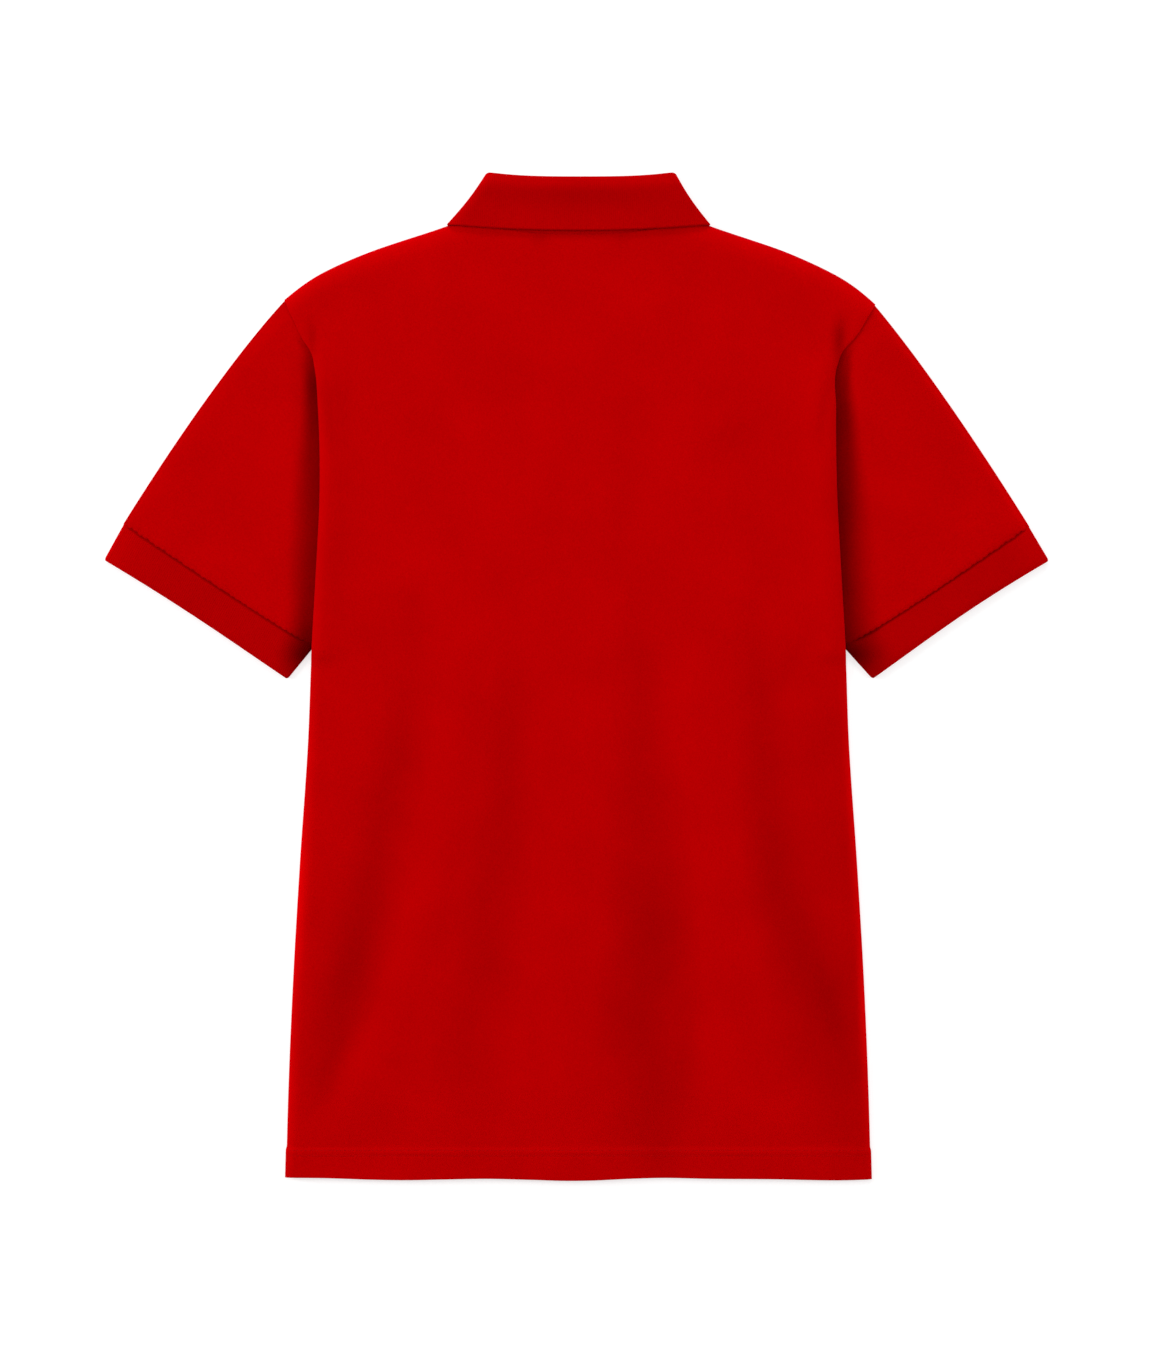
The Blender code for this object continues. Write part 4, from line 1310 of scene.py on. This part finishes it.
@dataclass
class FrontPanel(Panel):
    """The front, which lies under the back, flat on the surface.

    Attributes:
        slack: small hollows where the front doesn't quite touch the surface.
        edge_steps: distances of columns in from its edges.
        hem_rows: heights of grid rows in the hem.
        neck_turn: the turn along the neckline up to its first column, in degrees.
        follow_y: heights over which the columns come to stand under the neck.
        follow_x: distance from the centre line at which they no longer do.
        even_to_y: height up to which they are even.
        upright_x: distance from the centre line within which they stand upright.
    """

    edge_steps: Run = (0.0, 0.5, 1.5, 4.0, 8.0)
    hem_rows: Run = (0, 0.5, 2, 6, 12, 16, 17, 18, 20, 21, 22, 23, 26)
    body_rows: int = 110
    neck_turn: float = 78.0
    neck_columns: int = 22
    follow_y: tuple[float, float] = (110.0, 215.0)
    follow_x: float = 185.0
    even_to_y: float = 60.0
    upright_x: float = 50.0
    slack: Creases = Creases((
        (-150, 60, -90, -260, 12, 0.5, 14), (140, 80, 110, -230, -10, 0.55, 15),
        (-40, 20, -30, -330, 6, 0.45, 12), (60, -40, 66, -340, -5, 0.4, 12),
        (-120, 180, -40, 130, 5, 0.4, 12), (124, 176, 50, 120, -6, 0.4, 12),
    ))

    def build(self) -> Piece:
        """The panel, with its opening for the placket.

        Its columns are even low down, and further up they draw to the places where they
        must be in the neck. Beside the placket they stand upright.

        Returns:
            The piece, dressed.
        """
        pattern = self.pattern
        plan = Plan(pattern, pattern.front_side_x, pattern.front_line)
        half = pattern.placket_half + pattern.gap
        steps = np.array(self.edge_steps)
        angles = np.radians(np.linspace(self.neck_turn, 0, self.neck_columns))
        neck = pattern.collar_end + (pattern.neck_half - pattern.collar_end) * np.cos(angles)
        even = np.linspace(neck[0], neck[-1], len(neck))
        across, low_across = (
            plan.columns(steps, 22, np.concatenate([[0.0, half], run])) for run in (neck, even)
        )
        body = np.linspace(pattern.hem_y + 30, pattern.left_tip_y, self.body_rows)
        rows = merged(pattern.hem_y + np.array(self.hem_rows), body)
        heights = plan.grid(across[[len(across) // 2]], rows)[1][:, 0]
        rows = merged(rows, [np.interp(pattern.placket_low_y - pattern.gap, heights, rows)])
        x, y = plan.grid(across, rows)
        low_x = plan.grid(low_across, rows)[0]
        high = ease(rows, *self.follow_y)[:, None]
        x = mix(x, x[-1], high * ease(pattern.out(x[-1]), self.follow_x, pattern.neck_half))
        x = mix(low_x, x, ease(rows, self.even_to_y, pattern.left_tip_y)[:, None])
        x = mix(x, x[-1], ease(pattern.out(low_x[-1]), self.upright_x, half + 1))
        z = self.layers.front_lift(x, y) + self.slack.read(x, y)
        points = joined(x, y, z)
        piece = cloth("front_cloth", points, np.zeros_like(x), grain=0.0, cut=self.in_opening)
        return dress(wall(piece, self.thickness, 1), PIQUE, "front_panel")

    def in_opening(self, points: Array) -> Array:
        """Whether points lie in the opening for the placket."""
        pattern = self.pattern
        inside = pattern.out(points[:, 0]) < pattern.placket_half + pattern.gap
        return inside & (points[:, 1] > pattern.placket_low_y - pattern.gap)

    def sewing(self) -> Piece:
        """The double row of stitches round the front of the hem, sunk in its lower face."""
        return self.hem_sewing("hem_sewing_front", lambda x, y: self.layers.front_lift(x, y) + 0.1)


class Corner(NamedTuple):
    """A corner in plan."""

    x: float
    y: float


class Ring(NamedTuple):
    """Stations round a flattened tube.

    Over the top the height is 1 and along the bottom 0. Round each end the height
    follows half a sine turn, and the way out its cosine.

    Attributes:
        across: share of the tube's width.
        rounding: how far a station stands in or out at the ends.
        high: its height.
    """

    across: Array
    rounding: Array
    high: Array

    @classmethod
    def of(cls, stations: int, turns: int = 8) -> "Ring":
        """A ring, with closer stations towards its ends.

        Args:
            stations: number across the top, and along the bottom.
            turns: number round each end.

        Returns:
            The ring.
        """
        run = np.linspace(0, 1, stations)
        run = mix(run, ease(run, 0, 1), 0.5)
        turn = np.linspace(math.pi / 2, -math.pi / 2, turns + 2)[1:-1]
        ends = (1 - run) ** 16 - run**16
        return cls(
            np.concatenate([run, 0 * turn + 1, run[::-1], 0 * turn]),
            np.concatenate([ends, np.cos(turn) - 1, ends[::-1], 1 - np.cos(turn)]),
            np.concatenate([run * 0 + 1, (1 + np.sin(turn)) / 2, run * 0, (1 - np.sin(turn)) / 2]),
        )

    def outer(self, plan: Array) -> Array:
        """The points of a plan at the tube's outer fold."""
        return plan[..., [int(np.argmax(self.across))], :]


@dataclass(kw_only=True)
class Sleeve(Part):
    """A set-in sleeve and its ribbed cuff, flattened one wall on the other.

    Attributes:
        hand: which sleeve.
        seam_inner: the cuff's seam at the underarm side, and so on round the cuff.
        creases: on the sleeve's upper wall.
        bow: of the sleeve's outer edge.
        cuff_thickness: of the rib.
        end_dip: how far sleeve and cuff dip at their lower ends.
        tuck_dip: how far the cuff dips under the sleeve, and its lower wall rises.
        hollow_share: share of the painted shade beside the armhole, in millimetres, by which the
            cuff dips.
        cuff_inset: of the cuff inside the sleeve's edge, at the outer fold.
        cuff_clear: the same at the underarm.
        cuff_tuck: how far the cuff reaches in under the sleeve.
        cuff_round: share of the cuff's depth in which its ends round in.
        corner: how far they round in.
        seam_sag: bow of the cuff's seam towards the opening.
        seam_wave: height of the waves of its stitches.
        seam_stitches: number of these stitches.
        open_out: how far the opening stands out.
        open_dip: bow of the opening towards the seam.
        fold_light: painted highlight along the sleeve's outer fold, painted shade where it is
            below 0, and its half width.
        cuff_light: the same on the cuff.
    """

    hand: int
    seam_inner: Corner
    seam_outer: Corner
    open_inner: Corner
    open_outer: Corner
    creases: Creases
    bow: float = 4.8
    cuff_thickness: float = 1.4
    cuff_z: float = 5.0
    cuff_inset: float = 0.5
    cuff_clear: float = 0.5
    cuff_tuck: float = 2.0
    cuff_round: float = 0.08
    corner: float = 1.1
    seam_sag: float = 1.4
    seam_wave: float = 0.45
    seam_stitches: int = 33
    open_out: float = 0.9
    open_dip: float = 1.4
    fold_light: float = -0.4
    fold_reach: float = 4.0
    cuff_light: float = 0.7
    cuff_reach: float = 16.0
    end_dip: float = 0.5
    tuck_dip: tuple[float, float] = (0.85, 1.2)
    hollow_share: float = 0.75

    @property
    def side(self) -> str:
        """The wearer's side."""
        return "left" if self.hand < 0 else "right"

    def down(self) -> Array:
        """The way from the cuff's seam to its opening in plan, one long."""
        run = np.array(self.open_outer) - np.array(self.seam_outer)
        return run / np.linalg.norm(run)

    def seam_bow(self, across: Array, wave: float) -> Array:
        """How far the cuff's seam bows towards the opening, with the waves of its stitches.

        It is the sine of half a turn over the 0.65th power of the way out, and a small
        sine with a turn for each stitch.

        Args:
            across: the way out along the seam, from 0 to 1.
            wave: height of the stitches' waves.

        Returns:
            The bow in plan, as a way down.
        """
        stitches = self.seam_stitches * 2 * math.pi * across
        uneven = wave * (np.sin(stitches) + 0.8 * np.sin(stitches / 2.7 + 1) * across)
        bow = self.seam_sag * np.sin(math.pi * across**0.65) + uneven
        return bow[:, None] * self.down()

    def tube(
        self,
        name: str,
        ring: Ring,
        plan: Array,
        low: Array,
        top: Array,
        depth: Array,
        grain: float | None = None,
    ) -> Piece:
        """A flattened tube that lies on the surface.

        Args:
            name: name of the piece.
            ring: the stations round the tube.
            plan: rings in plan, rings by stations by two.
            low: height of the lower wall at each point.
            top: height of the upper wall.
            depth: painted shade of each point of the upper wall.
            grain: turn of the cloth's grain in plan, or none where it follows the rings.

        Returns:
            The sheet of the tube's outer face.
        """
        width = ring.outer(plan) - plan[:, :1]
        width = width / np.linalg.norm(width, axis=-1, keepdims=True)
        plan = plan + (ring.rounding * (top - low) / 2)[..., None] * width
        points = np.concatenate([plan, mix(low, top, ring.high)[..., None]], axis=-1)
        order = slice(None, None, -self.hand)
        # Only the upper wall carries the painted shade.
        return cloth(name, points[:, order], (depth * ring.high)[:, order], ring=True, grain=grain)

    def build_sleeve(self) -> Piece:
        """The sleeve from its armhole, under the torso's edge, to the cuff's seam.

        Its rings are blended from the armhole's line to the seam's. Towards the underarm
        they are drawn to the torso's edge, by the cube of the way in, and towards the
        outer fold they bow out, most in the upper half.

        Returns:
            The piece, dressed.
        """
        pattern = self.pattern
        hand = self.hand
        tip_y = pattern.tip_y(hand)
        low_share = (pattern.underarm_y - pattern.hem_y) / (pattern.left_tip_y - pattern.hem_y)
        ring = Ring.of(100)
        across = ring.across
        steps = merged(np.linspace(0, 1, 88), [0.98, 0.992, 1.0])[:, None]
        arm_y = mix(pattern.hem_y, tip_y, mix(low_share, 1.0, across))
        armhole = joined(pattern.tucked_x(arm_y, hand), arm_y)
        tip_x = ring.outer(armhole)[0, 0]
        past_tip = pattern.shoulder_y(tip_x) - tip_y - 0.1
        up = (arm_y - pattern.hem_y) / (tip_y - pattern.hem_y)
        armhole[:, 1] += past_tip * up**3
        seam_inner, seam_outer = np.array(self.seam_inner), np.array(self.seam_outer)
        seam = mix(seam_inner, seam_outer, across[:, None]) + self.seam_bow(across, self.seam_wave)
        plan = mix(armhole, seam, steps[..., None])
        inner_y = mix(arm_y[0], seam_inner[1], steps)
        inner = joined(pattern.tucked_x(inner_y, hand), inner_y)
        plan = plan + (inner - plan[:, :1]) * ((1 - across) ** 3)[:, None]
        outer_edge = seam_outer - ring.outer(armhole)[0]
        outwards = np.array([-outer_edge[1], outer_edge[0]]) * hand / np.linalg.norm(outer_edge)
        early = steps**0.8
        bow = self.bow * 4 * early * (1 - early) * across**2
        plan = plan + bow[..., None] * outwards
        x, y = plan[..., 0], plan[..., 1]
        from_fold = np.linalg.norm(plan - ring.outer(plan), axis=-1)
        top = self.layers.sleeve_top(x, y, hand, from_fold) + self.creases.read(x, y)
        top = top - self.end_dip * ease(steps, 0.975, 1.0)
        # Painted highlight along the outer fold, and painted shade beside the armhole.
        light = self.fold_light * hump(from_fold, 1.2, self.fold_reach)
        depth = self.layers.armhole_painted_shade(x, y, hand) - light
        grain = math.atan2(*self.down()[::-1]) + math.pi / 2
        piece = self.tube("sleeve_cloth_" + self.side, ring, plan, 0 * top, top, depth, grain)
        return dress(wall(piece, self.thickness, -1), PIQUE, "sleeve_" + self.side)

    def build_cuff(self) -> Piece:
        """The ribbed cuff from the sleeve's seam to its opening.

        Its rings are blended from the seam's line to the opening's, and towards the
        opening its two ends round in by a quarter turn.

        Returns:
            The piece, dressed.
        """
        seam_inner, seam_outer = np.array(self.seam_inner), np.array(self.seam_outer)
        open_inner, open_outer = np.array(self.open_inner), np.array(self.open_outer)
        across = (seam_outer - seam_inner) / np.linalg.norm(seam_outer - seam_inner)
        down = self.down()
        inner = seam_inner + across * self.cuff_clear - down * self.cuff_tuck
        outer = seam_outer - across * self.cuff_inset - down * self.cuff_tuck
        ring = Ring.of(90)
        straight = 1 - self.cuff_round
        short = 1 - np.cos(np.linspace(0, math.pi / 2, 8))
        ends = 1 - self.cuff_round * short
        steps = merged(np.linspace(0, 0.2, 8), np.linspace(0.2, straight, 9), ends)[:, None]
        seam = mix(inner, outer, ring.across[:, None]) + self.seam_bow(ring.across, 0.0)
        opening = mix(open_inner, open_outer, ring.across[:, None])
        dip = self.open_dip * np.sin(math.pi * ring.across**1.2)
        opening = opening + (self.open_out - dip)[:, None] * down
        plan = mix(seam, opening, steps[..., None])
        middle = (plan[:, :1] + ring.outer(plan)) / 2
        past = np.clip((steps - straight) / self.cuff_round, 0, 1)
        narrower = 1 - np.sqrt(1 - past**2)
        width = np.linalg.norm(open_outer - open_inner)
        plan = mix(plan, middle, (narrower * 2 * self.corner / width)[..., None])
        tucked = ease(steps, 0.16, 0.04)
        # Painted shade beside the armhole; the cuff also dips by a share of it.
        hollow = self.layers.armhole_painted_shade(plan[..., 0], plan[..., 1], self.hand)
        top = self.cuff_z - self.tuck_dip[0] * tucked - self.end_dip * ease(steps, 0.88, 1.0)
        top = top - self.hollow_share * np.minimum(hollow, 2)
        from_fold = np.linalg.norm(plan - ring.outer(plan), axis=-1)
        # Painted highlight near the outer fold; painted shade under the sleeve's edge and beside
        # the armhole.
        light = self.cuff_light * hump(from_fold, 0, self.cuff_reach)
        depth = 0.2 * tucked + hollow - light
        low = self.tuck_dip[1] * tucked + 0 * top
        piece = self.tube("cuff_cloth_" + self.side, ring, plan, low, top, depth)
        return dress(wall(piece, self.cuff_thickness, -1), RIB, "cuff_" + self.side)


def both_sleeves(layers: Layers) -> tuple[Sleeve, Sleeve]:
    """The left and the right sleeve, which lie a little differently.

    Args:
        layers: the heights and the outline.

    Returns:
        Both sleeves, not built yet.
    """
    left = Sleeve(
        layers,
        hand=-1,
        seam_inner=Corner(-191.8, 21.3),
        seam_outer=Corner(-332.5, 112.4),
        open_inner=Corner(-211.5, -1.1),
        open_outer=Corner(-346.2, 86.6),
        creases=Creases((
            (-226, 220, -252, 105, 6, -0.35, 10), (-262, 180, -296, 110, 5, -0.3, 10),
            (-216, 140, -226, 50, -4, 0.3, 9), (-290, 160, -318, 116, -3, -0.25, 7),
        )),
    )
    right = Sleeve(
        layers,
        hand=1,
        seam_inner=Corner(195.8, 21.6),
        seam_outer=Corner(333.5, 110.4),
        open_inner=Corner(217.7, -1.1),
        open_outer=Corner(347.5, 85.9),
        bow=3.6,
        seam_sag=2.4,
        open_out=0.7,
        open_dip=2.2,
        fold_light=0.4,
        fold_reach=2.6,
        cuff_light=0.5,
        creases=Creases((
            (232, 215, 262, 100, -7, -0.35, 11), (268, 175, 300, 105, -5, -0.3, 9),
            (222, 150, 236, 60, 4, 0.35, 10), (300, 145, 318, 112, 2, -0.25, 6),
        )),
    )
    return left, right


class Guides(NamedTuple):
    """Half of the collar's guide lines, from the centre back to the centre front.

    Attributes:
        seam: the neck seam in plan, out from the centre line.
        fold: the fold, the same way.
        fall: the lower edge of the fall.
        turn: turn of each station round the side of the neck.
        sag: its share of the collar's sag.
    """

    seam: Array
    fold: Array
    fall: Array
    turn: Array
    sag: Array


@dataclass
class Collar(Part):
    """The ribbed collar: a stand, a fold and a fall, in one wall round the neck.

    Attributes:
        shade: strength of the painted shade down the fall, with its place and half width as
            shares of the fall.
        fold_light: painted highlight along the fold, the same way.
        back_turn: share of a back guide line that turns round the side of the neck.
        front_turn: the same of a front one.
        seam_dip: how far the stand dips under its seam.
    """

    thickness: float = 1.6
    seam_inset: float = 3.4
    fold_half: float = 67.4
    fold_y: float = 366.4
    fold_rise: float = 3.0
    fold_shift: float = 1.7
    fall_half: float = 94.8
    fall_y: float = 327.4
    fall_side_y: float = 331.6
    fall_bow: float = 4.0
    leaf_bow: float = 1.6
    point: Corner = Corner(66.0, 232.0)
    stand_front: float = 28.0
    middle_z: float = 4.85
    half_z: float = 2.55
    fold_radius: float = 1.4
    fold_share: float = 0.04
    sag: float = 1.0
    seam_dip: float = 1.2
    back_turn: float = 0.08
    front_turn: float = 0.02
    back_stations: int = 48
    front_stations: int = 56
    fall_rows: int = 30
    shade: tuple[float, float, float] = (0.52, 0.3, 0.28)
    fold_light: tuple[float, float, float] = (0.85, 0.03, 0.13)

    def guides(self) -> Guides:
        """The guide lines, with close stations round the side of the neck.

        Returns:
            The lines.
        """
        pattern = self.pattern
        turning = np.linspace(0, math.pi, 15)[1:-1]
        level, upright = np.zeros(self.back_stations), np.full(self.front_stations, math.pi)
        short = 1 - np.sin(turning)
        half = len(turning) // 2
        straight = np.linspace(0, 1 - self.back_turn, self.back_stations)
        back = np.append(straight, 1 - self.back_turn * short[:half])
        straight = np.linspace(self.front_turn, 1, self.front_stations)
        front = np.append(self.front_turn * short[half:], straight)
        seam_half = pattern.neck_half - self.seam_inset
        out = seam_half * back
        gap = 2 * pattern.gap
        seam = joined(out, pattern.back_neck(pattern.centre_x + out) + gap)
        fold = joined(self.fold_half * back, self.fold_y + self.fold_rise * back**3)
        fall_y = mix(self.fall_y, self.fall_side_y, back**2.2)
        fall = joined(self.fall_half * back, fall_y)
        fall_x = mix(self.fall_half, self.point.x, front)
        fall_x = fall_x + self.fall_bow * np.sin(math.pi * front)
        fall_front = joined(fall_x, mix(self.fall_side_y, self.point.y, front))
        seam_end, fold_end = pattern.front_neck_y + gap, pattern.front_neck_y + self.stand_front
        return Guides(
            np.concatenate([seam, self.quarter(seam_half, seam[-1, 1], seam_end, front)]),
            np.concatenate([fold, self.quarter(self.fold_half, fold[-1, 1], fold_end, front)]),
            np.concatenate([fall, fall_front]),
            np.concatenate([level, turning, upright]),
            np.append(1 - back**4, 0 * front),
        )

    def quarter(self, half: float, side_y: float, end_y: float, part: Array) -> Array:
        """A guide line round the front: a quarter ellipse from the neck's side to its end.

        Args:
            half: its distance from the centre line at the neck's side.
            side_y: its height there.
            end_y: its height at the collar's front end.
            part: shares of the quarter turn.

        Returns:
            Its points in plan, out from the centre line.
        """
        bend = part * math.pi / 2
        out = mix(self.pattern.collar_end, half, np.cos(bend))
        return joined(out, mix(side_y, end_y, np.sin(bend)))

    def row(self, guides: Guides, plan: Array, side: float, high: float) -> Array:
        """A whole row, from the left front end round the back to the right one.

        Args:
            guides: the guide lines.
            plan: half of the row in plan, out from the centre line.
            side: -1 on the stand, 1 on the fall and between them over the fold.
            high: 1 at the fold, 0 at both edges and below 0 under the seam.

        Returns:
            The row's points.
        """
        away = self.fold_radius * side
        out = plan[:, 0] + away * np.sin(guides.turn)
        z = self.middle_z + (self.half_z + away) * np.cos(guides.turn)
        z = z - self.sag * ease(high, 0, 1) * guides.sag
        z = z - self.seam_dip * np.cos(guides.turn) * ease(-high, 0, 0.05)
        centre = self.pattern.centre_x + self.fold_shift * high
        left, right = (joined(centre + way, plan[:, 1], z) for way in (-out, out))
        return np.concatenate([left[:0:-1], right])

    def build(self) -> Piece:
        """The collar, in rows up the stand, round the fold and down the fall.

        Returns:
            The piece, dressed.
        """
        guides = self.guides()
        seam, fold, fall = guides.seam, guides.fold, guides.fall
        share = self.fold_share
        rows = []
        for part in np.concatenate([[-0.07, -0.03], np.linspace(0, 1 - share, 14)]):
            rows.append(self.row(guides, mix(seam, fold, part), -1.0, part))
        for angle in np.linspace(0, math.pi, 12)[1:-1]:
            towards = fall if angle > math.pi / 2 else seam
            plan = mix(fold, towards, share * (1 - math.sin(angle)))
            rows.append(self.row(guides, plan, -math.cos(angle), 1.0))
        for part in np.linspace(share, 1, self.fall_rows):
            plan = mix(fold, fall, part)
            plan[:, 0] -= self.leaf_bow * (1 - guides.sag) * math.sin(math.pi * part)
            rows.append(self.row(guides, plan, 1.0, 1 - part))
        # The collar carries painted shade and highlight in its crease attribute.
        piece = cloth("collar_cloth", np.stack(rows), self.depth(guides, len(rows)))
        return dress(wall(piece, self.thickness, 0), RIB, "collar")

    def depth(self, guides: Guides, rows: int) -> Array:
        """Painted shade of the collar: a bell curve down the fall, away from the neck's sides.

        A painted highlight lies along the fold above it, by another bell curve.

        Args:
            guides: the guide lines.
            rows: number of rows of the whole collar.

        Returns:
            The painted shade at each point.
        """
        down = (np.arange(rows) - (rows - self.fall_rows)) / self.fall_rows
        across = np.concatenate([guides.sag[:0:-1], guides.sag])
        shade, light = (
            most * hump(down, place, width) for most, place, width in (self.shade, self.fold_light)
        )
        # Painted shade down the fall, less a painted highlight along the fold.
        return np.where(down < 0, 0, shade)[:, None] * across - light[:, None]


@dataclass
class Placket(Part):
    """The two bands of the neck opening, with its sewing, buttonholes and buttons.

    Attributes:
        seam_inset: of its sewing inside the outer band's edges.
        box_height: of the sewn box at its lower end.
        sewn_to_y: where the rows along its sides end.
        hole_half: half length of a buttonhole.
        hole_side: distance of its stitches from its middle.
        hole_stitch: half length of such a stitch, and the space from one to the next.
        cross_half: half length of a button's crossed threads.
    """

    thickness: float = 1.2
    inner_half: float = 13.0
    inner_low_y: float = 109.0
    button_y: float = 237.0
    button_spacing: float = 49.0
    buttons: int = 3
    seam_inset: float = 2.0
    box_height: float = 5.0
    sewn_to_y: float = 248.0
    hole_half: float = 7.5
    hole_side: float = 1.0
    hole_stitch: tuple[float, float] = (0.8, 0.45)
    cross_half: float = 1.9
    cross_z: float = 0.3

    def band(self, node: str, half: float, low_y: float, low_z: float) -> Piece:
        """A band that follows the front's rise.

        Args:
            node: the solid that it replaces.
            half: half of its width.
            low_y: height of its lower end.
            low_z: its height over the front's lower face.

        Returns:
            The piece, dressed.
        """
        pattern = self.pattern
        x = pattern.centre_x + half * np.linspace(-1, 1, 25)
        y = np.linspace(low_y, pattern.front_neck_y - pattern.gap, 90)
        x, y = np.meshgrid(x, y)
        z = self.layers.front_lift(np.full_like(x, pattern.centre_x), y) + low_z
        piece = cloth(node + "_cloth", joined(x, y, z), 0 * x)
        return dress(wall(piece, self.thickness, 1), PIQUE, node)

    def build(self) -> dict[str, Piece]:
        """The two bands, the sewing and the buttons' threads.

        Returns:
            The pieces by name, dressed.
        """
        outer = (self.pattern.placket_half, self.pattern.placket_low_y, 0.0)
        inner = (self.inner_half, self.inner_low_y, self.layers.cloth + self.pattern.gap)
        return {
            "placket_outer": self.band("placket_outer", *outer),
            "placket_inner": self.band("placket_inner", *inner),
            "placket_sewing": self.sewing(),
            "button_threads": self.dress_buttons(),
        }

    def low_face(self, x: Array, y: Array) -> Array:
        """Points on the lower face of the outer band."""
        x, y = np.broadcast_arrays(x, y)
        centre = np.full(x.shape, self.pattern.centre_x)
        return joined(x, y, self.layers.front_lift(centre, y) - 0.02)

    def button_heights(self) -> Array:
        """How far up each button lies, from the top one down."""
        return self.button_y - np.arange(self.buttons) * self.button_spacing

    def sewing(self) -> Piece:
        """Rows of stitches inside the outer band's edges, and round its buttonholes.

        Returns:
            The piece, dressed.
        """
        centre = self.pattern.centre_x
        made = Sewing("placket_sewing")
        left = centre - self.pattern.placket_half + self.seam_inset
        right = centre + self.pattern.placket_half - self.seam_inset
        low_y = self.pattern.placket_low_y + self.seam_inset
        y = np.linspace(low_y, self.sewn_to_y, 80)
        for x in (left, right):
            made.row(self.low_face(x, y))
        x = np.linspace(left, right, 20)
        for y in (low_y, low_y + self.box_height):
            made.row(self.low_face(x, y))
        for middle in self.button_heights():
            y = np.linspace(middle - self.hole_half, middle + self.hole_half, 20)
            for x in (centre - self.hole_side, centre + self.hole_side):
                made.crossings(self.low_face(x, y), *self.hole_stitch)
        return made.build()

    def dress_buttons(self) -> Piece:
        """Gives the buttons their finish, and sews each one on with a cross of thread.

        Returns:
            The threads, dressed.
        """
        made = Sewing("button_threads", 0.28)
        for number, y in enumerate(self.button_heights(), start=1):
            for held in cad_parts[f"button_{number}"].material_slots:
                held.material = RESIN.material()
            middle = np.array([[self.pattern.centre_x, y, self.cross_z]])
            for turn in (math.pi / 4, 3 * math.pi / 4):
                way = np.array([[math.cos(turn), math.sin(turn), 0.0]])
                made.stitches(middle, self.cross_half * way)
        return made.build()


# ---------------------------------------------------------------- studio


@dataclass(frozen=True)
class Lamp:
    """A soft area light that faces the middle of the shirt.

    Attributes:
        name: name of the light.
        place: where it stands, in metres.
        size: width and length, in metres.
        power: in watts.
    """

    name: str
    place: tuple[float, float, float]
    size: tuple[float, float]
    power: float

    def build(self) -> None:
        """Makes the light."""
        data = bpy.data.lights.new(self.name, "AREA")
        data.shape = "RECTANGLE"
        data.size, data.size_y = self.size
        data.energy = self.power
        lamp = linked(self.name, data)
        lamp.location = self.place
        lamp.rotation_euler = (-lamp.location).to_track_quat("-Z", "Y").to_euler()


@dataclass(frozen=True)
class Studio:
    """A plain pale floor, soft light and a camera straight above.

    Attributes:
        image: width and height of the picture, in pixels.
        pixel: what one of them shows, in millimetres.
        centre: the picture's middle on the shirt.
        height: of the camera, in metres.
        silhouette_z: height of the shirt's widest outline, in metres.
        sky: strength of the even light from all round.
        floor_half: half of the floor's width, in metres.
        floor_z: its height, in metres.
        floor_glow: how much it glows, to stay near white.
        lamps: the lamps.
    """

    image: tuple[int, int] = (1158, 1359)
    pixel: float = 0.735
    centre: tuple[float, float] = (2.4, -2.2)
    height: float = 3.0
    silhouette_z: float = 0.003
    sky: float = 0.46
    floor_half: float = 6.0
    floor_z: float = -0.0003
    floor_glow: float = 0.6
    lamps: tuple[Lamp, ...] = (
        Lamp("overhead", (-0.5, 0.8, 3.8), (2.4, 2.4), 22.0),
        Lamp("left_rake", (-4.0, 0.8, 1.5), (1.0, 3.0), 145.0),
        Lamp("right_rake", (4.0, 0.2, 1.5), (1.0, 3.0), 75.0),
        Lamp("top_rake", (0.0, 4.0, 1.7), (3.0, 1.0), 75.0),
    )

    def build(self) -> None:
        """Makes the floor, the sky, the lights and the camera."""
        self.floor()
        world = bpy.data.worlds.new("studio")
        world.use_nodes = True
        fill(world.node_tree.nodes["Background"], {"Color": (1, 1, 1, 1), "Strength": self.sky})
        bpy.context.scene.world = world
        for lamp in self.lamps:
            lamp.build()
        self.camera()
        bpy.context.scene.view_settings.view_transform = "Standard"
        log.info("studio: %d lamps", len(self.lamps))

    def floor(self) -> None:
        """A wide pale floor just under the shirt."""
        corners = np.array([[-1, -1, 0], [1, -1, 0], [1, 1, 0], [-1, 1, 0]]) * self.floor_half
        points = corners + [0, 0, self.floor_z]
        piece = linked("floor", polygons("floor", points, np.array([[0, 1, 2, 3]])))
        paint = bpy.data.materials.new("pale_floor")
        paint.use_nodes = True
        look = {
            "Base Color": (0.5, 0.5, 0.5, 1),
            "Roughness": 0.9,
            "Specular IOR Level": 0.0,
            "Emission Color": (1, 1, 1, 1),
            "Emission Strength": self.floor_glow,
        }
        fill(paint.node_tree.nodes["Principled BSDF"], look)
        piece.data.materials.append(paint)

    def camera(self) -> None:
        """A camera straight above, whose frame is the picture's at the shirt's edges."""
        data = bpy.data.cameras.new("camera")
        camera = linked("camera", data)
        camera.location = (self.centre[0] * MM, self.centre[1] * MM, self.height)
        long_side = self.image[1] * self.pixel * MM
        data.sensor_width = 36.0
        data.lens = data.sensor_width * (self.height - self.silhouette_z) / long_side
        bpy.context.scene.camera = camera


# ---------------------------------------------------------------- shirt


def main() -> None:
    """Builds the shirt and its studio."""
    logging.basicConfig(level=logging.INFO, format="%(name)s: %(message)s")
    layers = Layers()
    pieces = {}
    for name, panel in (("back", BackPanel(layers)), ("front", FrontPanel(layers))):
        pieces[name] = panel.build()
        pieces[name + "_sewing"] = panel.sewing()
    for sleeve in both_sleeves(layers):
        pieces["sleeve_" + sleeve.side] = sleeve.build_sleeve()
        pieces["cuff_" + sleeve.side] = sleeve.build_cuff()
    pieces["collar"] = Collar(layers).build()
    pieces |= Placket(layers).build()
    Studio().build()


if __name__ == "__main__":
    main()
